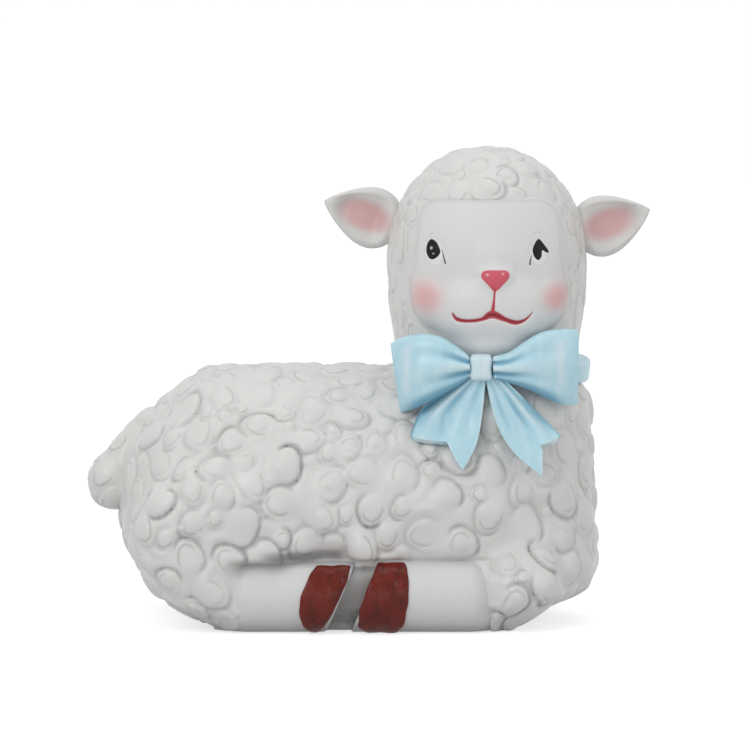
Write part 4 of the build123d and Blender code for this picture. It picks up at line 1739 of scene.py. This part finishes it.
@dataclass
class FoldedLeg:
    """A folded leg along the floor with its glossy hoof."""

    near: bool
    hind: bool
    half_width: float = 8.0
    height: float = 17.4
    taper: float = 8.0
    drawn_in: float = 4.6
    lowered: float = 0.2
    hind_end: float = -6.6
    fore_end: float = -0.6
    end_spare: float = 8.0
    gap_slant: float = 23.0
    sole_z: float = 0.12
    hoof_proud: float = 0.6
    hind_top: float = 16.3
    fore_top: float = 16.9
    voxel: float = 0.36
    hoof_voxel: float = 0.75
    dent: float = 0.05
    swell: float = 0.08
    hind_hoof: Sequence[Point] = ((-14.9, 1.0), (-10.7, 1.4), (-4.0, 17.2),
                                  (-11.0, 17.0), (-14.5, 13.2), (-16.5, 6.4))
    fore_hoof: Sequence[Point] = ((-2.6, 1.6), (6.4, 0.8), (8.8, 4.0),
                                  (9.5, 14.0), (7.6, 17.6), (2.8, 17.8))

    STEEP: ClassVar[float] = 0.7
    HOOF_SPARE: ClassVar[float] = 1.0
    END_SLOPE: ClassVar[float] = 0.42
    # Strengths of the painted shade: by the floor, under the fleece, extra under the fleece on hind legs, and
    # at the end by the hoof.
    LOW_SHADE: ClassVar[float] = 0.45
    TOP_SHADE: ClassVar[float] = 0.2
    HIND_TOP_SHADE: ClassVar[float] = 0.5
    END_SHADE: ClassVar[float] = 0.35

    @property
    def sign(self) -> int:
        """Way from the hoof to the body along X."""
        return -1 if self.hind else 1

    @property
    def word(self) -> str:
        """The leg's name without leg or hoof."""
        return f"{'near' if self.near else 'far'}_{'hind' if self.hind else 'fore'}"

    def bar(self, name: str, start: float, end: float, grow: float) -> Piece:
        """An oval bar along X, as wide and high as the leg.

        Args:
            name: Name of the piece.
            start: Lower end along X.
            end: Upper end along X.
            grow: How much larger than the leg it is all round.

        Returns:
            The new piece, flat where it lies on the floor.
        """
        y = Solid.of(f"{self.word}_leg").middle[1]
        middle = self.height / 2
        piece = rod((start, y, middle), (end, y, middle), 1.0)
        points = points_of(piece)
        points[:, 1] = y + (points[:, 1] - y) * (self.half_width + grow)
        points[:, 2] = middle + (points[:, 2] - middle) * (middle + grow)
        move_points(piece, points)
        return cut_away(joined([piece], name), (0.0, 0.0, self.sole_z), (0.0, 0.0, -1.0))

    def build(self, palette: Palette) -> None:
        """Saws the leg and the hoof from bars, rounds them and paints them.

        Args:
            palette: The finishes.
        """
        self.build_leg(palette)
        self.build_hoof(palette)

    def build_leg(self, palette: Palette) -> None:
        """The smooth white leg, drawn in under the fleece at its outer end.

        Args:
            palette: The finishes.
        """
        sign = self.sign
        box = Solid.of(f"{self.word}_leg")
        far_end = box.low[0] if self.hind else box.high[0]
        near_end = self.hind_end if self.hind else self.fore_end
        slant = math.radians(self.gap_slant)
        outward = (-sign * math.cos(slant), 0.0, sign * math.sin(slant))
        leg = self.bar(f"{self.word}_leg_bar", *sorted((far_end, near_end - sign * self.end_spare)), 0.0)
        leg = cut_away(leg, (near_end, 0.0, self.height / 2), outward)
        leg = fuse(leg, self.voxel, 5)
        points = points_of(leg)
        outer = smooth_step(0.0, self.taper, sign * (points[:, 0] - far_end) + self.taper)
        points[:, 1] -= np.sign(box.middle[1]) * self.drawn_in * outer
        points[:, 2] *= 1.0 - self.lowered * outer
        points[:, 2] -= points[:, 2].min()
        move_points(leg, points)
        mark(leg, "painted_shade", self.shade_painted(points, near_end))
        palette.place(leg, Finish.LEG, f"{self.word}_leg")

    def shade_painted(self, points: Array, near_end: float) -> Array:
        """Painted shade by the floor, under the belly and at the end by the hoof.

        Args:
            points: Points of the leg.
            near_end: Where the leg ends by the hoof, along X.

        Returns:
            The strength of the wash at each point.
        """
        low = smooth_step(4.5, 0.5, points[:, 2])
        top = smooth_step(self.height - 2.4, self.height - 0.2, points[:, 2])
        slanted = points[:, 0] - near_end - (points[:, 2] - self.height / 2) * self.END_SLOPE
        end = smooth_step(2.6, 0.4, np.abs(slanted))
        darkening = self.LOW_SHADE * low + self.HIND_TOP_SHADE * top * self.hind + self.TOP_SHADE * top
        return np.clip(darkening + self.END_SHADE * end, 0.0, 1.0)

    def build_hoof(self, palette: Palette) -> None:
        """The painted hoof, a thin sleeve on the leg's end with slanting edges.

        Args:
            palette: The finishes.
        """
        outline = smooth_curve(self.hind_hoof if self.hind else self.fore_hoof, 3, closed=True)
        reach = outline[:, 0].min() - self.HOOF_SPARE, outline[:, 0].max() + self.HOOF_SPARE
        hoof = self.bar(f"{self.word}_hoof_horn", *reach, self.hoof_proud)
        for (x0, z0), (x1, z1) in zip(outline, np.roll(outline, -1, axis=0)):
            if abs(z1 - z0) > self.STEEP * abs(x1 - x0):
                hoof = cut_away(hoof, (x0, 0.0, z0), (z1 - z0, 0.0, x0 - x1))
        hoof = cut_away(hoof, (0.0, 0.0, self.hind_top if self.hind else self.fore_top), (0.0, 0.0, 1.0))
        hoof = fuse(hoof, self.voxel * self.hoof_voxel, 9)
        points = points_of(hoof)
        x, z = points[:, 0], points[:, 2]
        waves = np.sin(x * 1.5 + z * 0.7) + np.sin(z * 1.3 - x * 0.9)
        move_points(hoof, points + normals_of(hoof) * (self.dent * waves + self.swell)[:, None])
        palette.place(hoof, Finish.HOOF, f"{self.word}_hoof")


# Ribbon and bow

@dataclass
class NeckRibbon:
    """The painted band round the neck."""

    name: str = "neck_ribbon_band"
    axis: Span = (29.8, -4.0)
    radius: float = 21.6
    height: float = 4.6
    thick: float = 3.6
    middle_z: float = 62.8
    tilt: float = 6.0
    edge_round: float = 0.6
    wave: float = 0.35
    waves: float = 5.0
    # Painted highlight on the band's upper part:
    pale_range: Span = (1.5, 3.2)
    pale: float = 0.5

    SEGMENTS: ClassVar[int] = 96

    def build(self, palette: Palette) -> None:
        """Bends a flat band round the neck and rounds its edges.

        Args:
            palette: The finishes.
        """
        x, y = self.axis
        bpy.ops.object.select_all(action="DESELECT")
        bpy.ops.mesh.primitive_cylinder_add(vertices=self.SEGMENTS, radius=self.radius * MM,
                                            depth=self.height * MM, end_fill_type="NOTHING",
                                            location=(x * MM, y * MM, self.middle_z * MM),
                                            rotation=(0.0, math.radians(self.tilt), 0.0))
        piece = joined([settle(bpy.context.object)], self.name)
        finish_with(piece, "SOLIDIFY", thickness=self.thick * MM, offset=0.0)
        finish_with(piece, "BEVEL", width=self.edge_round * MM, segments=3, limit_method="ANGLE")
        points = points_of(piece)
        angle = np.arctan2(points[:, 1] - y, points[:, 0] - x)
        points[:, 2] += self.wave * np.sin(self.waves * angle)
        move_points(piece, points)
        # The band's upper part painted paler, as a painted highlight; no painted shade.
        first, last = [self.middle_z + rise for rise in self.pale_range]
        mark(piece, "hollow", np.zeros(len(points)))
        mark(piece, "ridge", smooth_step(first, last, points[:, 2]) * self.pale)
        palette.place(piece, Finish.RIBBON, "neck_ribbon")


def shade_folds(piece: Piece, full: float, ridge: Any = 0.0, hollow: Any = 0.0) -> None:
    """Marks a piece's hollows for painted shade and its ridges for painted highlights.

    Args:
        piece: The piece to mark.
        full: Depth in millimetres at which a fold counts in full.
        ridge: Painted highlight that is added at each point.
        hollow: Painted shade that is added at each point.
    """
    points = points_of(piece)
    edges = edges_of(piece)
    even = np.stack([evened(points[:, i], edges, 8) for i in range(3)], axis=1)
    rise = np.einsum("ij,ij->i", points - even, normals_of(piece)) / full
    mark(piece, "hollow", np.maximum(evened(np.clip(-rise, 0.0, 1.0), edges, 3), hollow))
    mark(piece, "ridge", np.maximum(evened(np.clip(rise, 0.0, 1.0), edges, 3), ridge))


@dataclass
class BowKnot:
    """The knot of the bow."""

    centre: Point = (26.8, -29.9, 63.6)
    half: Point = (2.9, 2.9, 3.1)
    edge_round: float = 1.4
    voxel: float = 0.3
    waist: float = 0.86
    flare: float = 0.14
    groove_x: float = 0.5
    groove_width: float = 0.5
    groove_depth: float = 0.25
    # Painted shade in the groove, and a painted highlight over the whole knot:
    groove_paint: float = 0.2
    pale: float = 0.9

    def build(self, palette: Palette) -> None:
        """Rounds a block and pinches it into the knot.

        Args:
            palette: The finishes.
        """
        x, y, z = self.centre
        low = [c - h for c, h in zip(self.centre, self.half)]
        high = [c + h for c, h in zip(self.centre, self.half)]
        piece = joined([block(low, high)], "bow_knot_wrap")
        finish_with(piece, "BEVEL", width=self.edge_round * MM, segments=4)
        piece = fuse(piece, self.voxel, 4)
        points = points_of(piece)
        up = (points[:, 2] - z) / self.half[2]
        points[:, 0] = x + (points[:, 0] - x) * (self.waist + self.flare * up * up)
        groove = bell(points[:, 0] - x, self.groove_x, self.groove_width)
        points[:, 1] += self.groove_depth * groove * (points[:, 1] < y)
        move_points(piece, points)
        # Painted shade in the groove; the whole knot painted paler, as a painted highlight.
        mark(piece, "hollow", self.groove_paint * groove)
        mark(piece, "ridge", np.full(len(points), self.pale))
        palette.place(piece, Finish.RIBBON, "bow_knot")


@dataclass
class BowLoop:
    """A puffed loop of the bow, between an upper and a lower edge that run outward from the knot."""

    side: Side
    top: Sequence[Point]
    bottom: Sequence[Point]
    middle_y: float = BowKnot.centre[1]
    depth: float = 8.0
    sweep: float = 6.5
    pleat: float = 1.1

    SEGMENTS: ClassVar[int] = 96
    OPEN: ClassVar[float] = 0.06
    START: ClassVar[float] = 0.04
    RUN: ClassVar[float] = 0.84
    CLOSE: ClassVar[float] = 0.88
    CLOSE_RUN: ClassVar[float] = 0.12
    DEPTH_AT: ClassVar[Point] = (0.0, 0.3, 0.65, 1.0)
    DEPTH_SHARE: ClassVar[Point] = (0.5, 0.72, 1.0, 0.78)
    FULL_FOLD: ClassVar[float] = 0.3

    def edges(self) -> tuple[Array, Array]:
        """Upper and lower edge as smooth curves."""
        return smooth_curve(self.top, 8), smooth_curve(self.bottom, 8)

    def puff(self, share: Array, turn: Array) -> Array:
        """Places of the loop's points, with pleats that run to the knot.

        Args:
            share: Share of the way from the knot outward.
            turn: Angle round the loop's middle line.

        Returns:
            The points, one row each.
        """
        upper, lower = self.edges()
        reach = np.clip((share - self.START) / self.RUN, 0.0, 1.0)
        opening = half_round(np.clip((self.OPEN - share) / self.OPEN, 0.0, 1.0))
        closing = opening * half_round(np.clip((share - self.CLOSE) / self.CLOSE_RUN, 0.0, 1.0))
        high = placed_along(upper, reach)
        deep = placed_along(lower, reach)
        lift = np.sign(np.sin(turn)) * np.abs(np.sin(turn)) ** 0.75
        front = np.sign(np.cos(turn)) * np.abs(np.cos(turn)) ** 0.8
        level = 0.5 + 0.5 * lift * closing
        edge = deep + (high - deep) * level[:, None]
        depth = self.depth / 2 * np.interp(reach, self.DEPTH_AT, self.DEPTH_SHARE) * closing
        creases = bell(level, 0.72, 0.09) + bell(level, 0.28, 0.09)
        fold = (bell(level, 0.5, 0.2) - creases) * self.pleat * (1.0 - reach) ** 1.2
        y = self.middle_y + self.sweep * reach ** 2 - front * depth - fold * (front > 0) * closing
        return np.stack([edge[:, 0], y, edge[:, 1]], axis=1)

    def build(self, palette: Palette) -> None:
        """Pulls the loop out of a ball, paints shade into its folds and a highlight near its outer end.

        Args:
            palette: The finishes.
        """
        piece = pulled(f"bow_loop_{self.side.word}_puff", self.SEGMENTS, self.puff)
        points = points_of(piece)
        high, deep = [self.height_of(edge, points[:, 0]) for edge in self.edges()]
        level = (points[:, 2] - deep) / (high - deep)
        start, end = self.top[0][0], self.top[-1][0]
        reach = (points[:, 0] - start) / (end - start)
        seen = smooth_step(-0.1, -0.5, normals_of(piece)[:, 1])
        # Painted highlight near the outer end, painted shade in the creases by the knot and along the lower
        # fold.
        glint = bell(reach, 0.79, 0.08) * smooth_step(0.1, 0.35, level) * smooth_step(1.0, 0.8, level)
        crease = bell(level, 0.72, 0.08) + bell(level, 0.3, 0.1)
        crease = crease * smooth_step(0.62, 0.0, reach)
        fold = bell(level, 0.04, 0.12) * smooth_step(0.98, 0.6, reach)
        shade_folds(piece, self.FULL_FOLD, 0.75 * glint * seen, np.clip(crease + 0.95 * fold, 0.0, 1.0))
        palette.place(piece, Finish.RIBBON, f"bow_loop_{self.side.word}")

    @staticmethod
    def height_of(edge: Array, x: Array) -> Array:
        """Height of an edge at places along X."""
        ranks = np.argsort(edge[:, 0])
        return np.interp(x, edge[ranks, 0], edge[ranks, 1])


@dataclass
class BowTail:
    """A notched tail of the bow, between an inner and an outer edge that run down from the knot."""

    side: Side
    inner: Sequence[Point]
    outer: Sequence[Point]
    notch: float
    notch_at: float
    thick: float = 2.2
    proud: float = 1.7
    pleat: float = 0.5
    pleat_width: float = 10.0
    pleat_heights: Span = (43.0, 54.0)
    edge_round: float = 0.35
    chest_x: float = 29.4

    ACROSS: ClassVar[int] = 28
    DOWN: ClassVar[int] = 56
    BULGE: ClassVar[float] = 0.9
    VALLEY: ClassVar[float] = 0.8
    VALLEY_WIDTH: ClassVar[float] = 0.16
    CHEST_HEIGHTS: ClassVar[Point] = (13.0, 40.0, 61.0)
    CHEST_RADII: ClassVar[Point] = (26.4, 25.2, 22.6)
    CHEST_BLEND: ClassVar[float] = 0.7
    FULL_FOLD: ClassVar[float] = 0.2

    def chest_front(self, x: Array, z: Array) -> Array:
        """Front of the body's ground at places seen from the front.

        Args:
            x: Places along X.
            z: Heights of those places.

        Returns:
            The ground's place along Y.
        """
        drop = z - BodyFleece.barrel_z
        barrel = -np.sqrt(np.clip(BodyFleece.barrel_radius ** 2 - drop ** 2, 0.0, None))
        radius = np.interp(z, self.CHEST_HEIGHTS, self.CHEST_RADII)
        round_front = np.sqrt(np.clip(radius ** 2 - (x - self.chest_x) ** 2, 0.0, None))
        chest = BodyFleece.chest_axis[1] - round_front
        return -np.logaddexp(-self.CHEST_BLEND * barrel, -self.CHEST_BLEND * chest) / self.CHEST_BLEND

    def build(self, palette: Palette) -> None:
        """Lays the tail on the chest, thickens it, and presses the pleats into its front.

        Args:
            palette: The finishes.
        """
        inner, outer = [smooth_curve(edge, 8) for edge in (self.inner, self.outer)]
        bpy.ops.object.select_all(action="DESELECT")
        bpy.ops.mesh.primitive_grid_add(x_subdivisions=self.ACROSS, y_subdivisions=self.DOWN, size=2.0 * MM)
        piece = joined([bpy.context.object], f"bow_tail_{self.side.word}_end")
        grid = points_of(piece)
        across = (grid[:, 0] + 1.0) / 2.0
        along = (grid[:, 1] + 1.0) / 2.0
        to_edge = np.where(across < self.notch_at, self.notch_at, 1.0 - self.notch_at)
        wedge = np.clip(1.0 - np.abs(across - self.notch_at) / to_edge, 0, 1)
        length = np.linalg.norm(inner[-1] - inner[0])
        reach = along * (1.0 - wedge * self.notch / length)
        first = placed_along(inner, reach)
        last = placed_along(outer, reach)
        flat = first + (last - first) * across[:, None]
        bulge = self.BULGE * np.sin(math.pi * across) * (0.4 + 0.6 * along)
        ridge = bulge - self.VALLEY * bell(across, 0.5, self.VALLEY_WIDTH)
        y = self.chest_front(flat[:, 0], flat[:, 1]) - self.proud - ridge
        move_points(piece, np.stack([flat[:, 0], y, flat[:, 1]], axis=1))
        finish_with(piece, "SOLIDIFY", thickness=self.thick * MM, offset=0.0)
        finish_with(piece, "BEVEL", width=self.edge_round * MM, segments=2, limit_method="ANGLE",
                    angle_limit=0.9)
        turn_outward(piece)
        self.press_pleats(piece, inner, outer)
        # Painted shade in the hollows of the pleats, painted highlights on their ridges.
        shade_folds(piece, self.FULL_FOLD)
        palette.place(piece, Finish.RIBBON, f"bow_tail_{self.side.word}")

    def press_pleats(self, piece: Piece, inner: Array, outer: Array) -> None:
        """Presses pleats that fan out from the knot into the front of the tail.

        Args:
            piece: The thickened tail.
            inner: Points along the inner edge.
            outer: Points along the outer edge.
        """
        points = points_of(piece)
        near_x, far_x = [np.interp(points[:, 2], edge[::-1, 1], edge[::-1, 0]) for edge in (inner, outer)]
        share = (points[:, 0] - near_x) / (far_x - near_x)
        deep = self.pleat * np.clip(np.abs(far_x - near_x) / self.pleat_width, 0.0, 1.0)
        facing = smooth_step(-0.2, -0.6, normals_of(piece)[:, 1])
        deep = deep * smooth_step(*self.pleat_heights, points[:, 2]) * facing
        points[:, 1] -= deep * np.cos(5.0 * math.pi * share)
        move_points(piece, points)


@dataclass
class Bow:
    """The bow: a knot, two puffed loops and two notched tails."""

    knot: BowKnot = field(default_factory=BowKnot)
    left_loop: BowLoop = field(default_factory=lambda: BowLoop(
        Side.LEFT,
        ((23.9, 66.4), (20.6, 68.9), (17.2, 70.8), (13.0, 71.4), (8.2, 70.4), (5.2, 68.6)),
        ((24.6, 61.4), (21.0, 59.0), (16.8, 56.6), (12.6, 54.2), (9.6, 52.8), (7.6, 52.2))))
    left_tail: BowTail = field(default_factory=lambda: BowTail(
        Side.LEFT,
        ((27.7, 61.4), (27.0, 52.0), (25.6, 45.0), (22.4, 39.2)),
        ((25.2, 61.8), (18.4, 57.0), (12.6, 52.0), (10.2, 46.7)), notch=4.6, notch_at=0.42))
    right_loop: BowLoop = field(default_factory=lambda: BowLoop(
        Side.RIGHT,
        ((29.6, 66.2), (33.4, 67.2), (37.4, 69.8), (41.4, 71.8), (46.2, 72.4), (50.2, 72.0)),
        ((29.8, 60.8), (33.6, 59.8), (38.0, 58.2), (42.2, 56.0), (46.2, 54.1), (50.0, 54.0))))
    right_tail: BowTail = field(default_factory=lambda: BowTail(
        Side.RIGHT,
        ((28.2, 61.4), (30.4, 51.0), (34.4, 43.6), (41.4, 38.0)),
        ((31.0, 61.4), (36.0, 56.4), (40.2, 51.8), (45.6, 46.6)), notch=4.2, notch_at=0.55))

    def build(self, palette: Palette) -> None:
        """Builds the five pieces of the bow.

        Args:
            palette: The finishes.
        """
        for part in (self.knot, self.left_loop, self.left_tail, self.right_loop, self.right_tail):
            part.build(palette)


# Studio

@dataclass(frozen=True)
class Softbox:
    """A square lamp that is aimed at the figure."""

    name: str
    place: Point
    size: float
    power: float


@dataclass
class Studio:
    """Camera, floor and soft light: a large key light at the front left, weaker ones round it."""

    frame_width: float = 180.0
    target: Point = (1.56, 0.0, 58.6)
    distance: float = 4000.0
    elevation: float = 6.0
    far_clip: float = 20000.0
    sensor: float = 36.0
    floor_half: float = 3000.0
    floor_drop: float = 0.05
    floor_colour: str = "#cecece"
    floor_glow: float = 0.66
    room_light: float = 0.54
    lamp_target: Point = (0.0, 0.0, 50.0)
    softboxes: Sequence[Softbox] = (
        Softbox("key", (-530.0, -735.0, 615.0), 520.0, 3.12),
        Softbox("fill", (800.0, -420.0, 300.0), 600.0, 1.15),
        Softbox("top", (40.0, 120.0, 900.0), 700.0, 1.5),
        Softbox("low", (-120.0, -900.0, 40.0), 500.0, 0.62),
    )

    def build(self) -> None:
        """Sets up the camera, the floor, the lamps and the surrounding light."""
        self.camera()
        self.floor()
        self.lamps()
        self.surround()
        bpy.context.scene.view_settings.view_transform = "Standard"

    def camera(self) -> None:
        """Looks at the figure from the photographed side, a little from above."""
        data = bpy.data.cameras.new("studio_camera")
        data.sensor_width = self.sensor
        data.lens = self.sensor * self.distance / self.frame_width
        data.clip_end = self.far_clip * MM
        camera = bpy.data.objects.new("studio_camera", data)
        bpy.context.scene.collection.objects.link(camera)
        tilt = math.radians(self.elevation)
        x, y, z = self.target
        camera.location = (x * MM, (y - self.distance * math.cos(tilt)) * MM,
                           (z + self.distance * math.sin(tilt)) * MM)
        camera.rotation_euler = (math.pi / 2 - tilt, 0.0, 0.0)
        bpy.context.scene.camera = camera

    def floor(self) -> None:
        """Lays a white floor that stays white to the eye and still takes a soft shadow."""
        bpy.ops.object.select_all(action="DESELECT")
        bpy.ops.mesh.primitive_plane_add(size=2 * self.floor_half * MM,
                                         location=(0, 0, -self.floor_drop * MM))
        piece = bpy.context.object
        piece.name = "studio_floor"
        made = bpy.data.materials.new("white_paper_sweep")
        made.use_nodes = True
        tree = made.node_tree
        tree.nodes.clear()
        paper = add_node(tree, "ShaderNodeBsdfDiffuse", {"Color": linear(self.floor_colour)})
        glow = add_node(tree, "ShaderNodeEmission", {"Strength": self.seen(tree, self.floor_glow)})
        both = add_node(tree, "ShaderNodeAddShader", {0: paper.outputs["BSDF"], 1: glow.outputs["Emission"]})
        add_node(tree, "ShaderNodeOutputMaterial", {"Surface": both.outputs["Shader"]})
        piece.data.materials.append(made)

    def seen(self, tree: Tree, strength: float) -> Socket:
        """Strength that only the eye and reflections see, and no other light.

        Args:
            tree: Tree of the floor's or the world's material.
            strength: The strength that they see.

        Returns:
            The strength's socket.
        """
        path = add_node(tree, "ShaderNodeLightPath").outputs
        mirror = add_node(tree, "ShaderNodeMath", {0: path["Is Camera Ray"], 1: path["Is Glossy Ray"]},
                          operation="MAXIMUM")
        clear = add_node(tree, "ShaderNodeMath", {0: mirror.outputs["Value"], 1: path["Is Transmission Ray"]},
                         operation="MAXIMUM")
        scaled = add_node(tree, "ShaderNodeMath", {0: clear.outputs["Value"], 1: strength},
                          operation="MULTIPLY")
        return scaled.outputs["Value"]

    def lamps(self) -> None:
        """Hangs the softboxes and aims them at the figure."""
        for box in self.softboxes:
            data = bpy.data.lights.new(f"{box.name}_softbox", "AREA")
            data.size = box.size * MM
            data.energy = box.power
            lamp = bpy.data.objects.new(data.name, data)
            bpy.context.scene.collection.objects.link(lamp)
            lamp.location = [p * MM for p in box.place]
            aim = Vector(self.lamp_target) - Vector(box.place)
            lamp.rotation_euler = aim.to_track_quat("-Z", "Y").to_euler()

    def surround(self) -> None:
        """Fills the room with even white light."""
        world = bpy.data.worlds.new("white_studio")
        bpy.context.scene.world = world
        world.use_nodes = True
        tree = world.node_tree
        tree.nodes.clear()
        strength = add_node(tree, "ShaderNodeMapRange", {
            "Value": self.seen(tree, 1.0), "To Min": self.room_light, "To Max": 1.0})
        light = add_node(tree, "ShaderNodeBackground", {
            "Color": (1.0, 1.0, 1.0, 1.0), "Strength": strength.outputs["Result"]})
        add_node(tree, "ShaderNodeOutputWorld", {"Surface": light.outputs["Background"]})


def main() -> None:
    """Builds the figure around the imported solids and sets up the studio."""
    logging.basicConfig(level=logging.INFO, format="%(message)s")
    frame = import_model()
    bpy.ops.object.select_all(action="DESELECT")
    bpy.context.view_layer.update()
    palette = Palette()
    Studio().build()
    BodyFleece("body_fleece", "body", seed=7, voxel=0.61).build(palette)
    HeadFleece("head_fleece", "head", seed=11, voxel=0.42, smallest=1.7, largest=3.3, dome=0.68, groove=0.4,
               swell=0.12).build(palette)
    TailFleece("tail_fleece", "tail", seed=5, voxel=0.36, largest=3.6).build(palette)
    Face().build(palette)
    for side in Side:
        Ear(side).build(palette)
    for near in (True, False):
        for hind in (True, False):
            FoldedLeg(near, hind).build(palette)
    NeckRibbon().build(palette)
    Bow().build(palette)
    palette.dress(frame["nodes"]["base_bung"], Finish.BUNG)


if __name__ == "__main__":
    main()
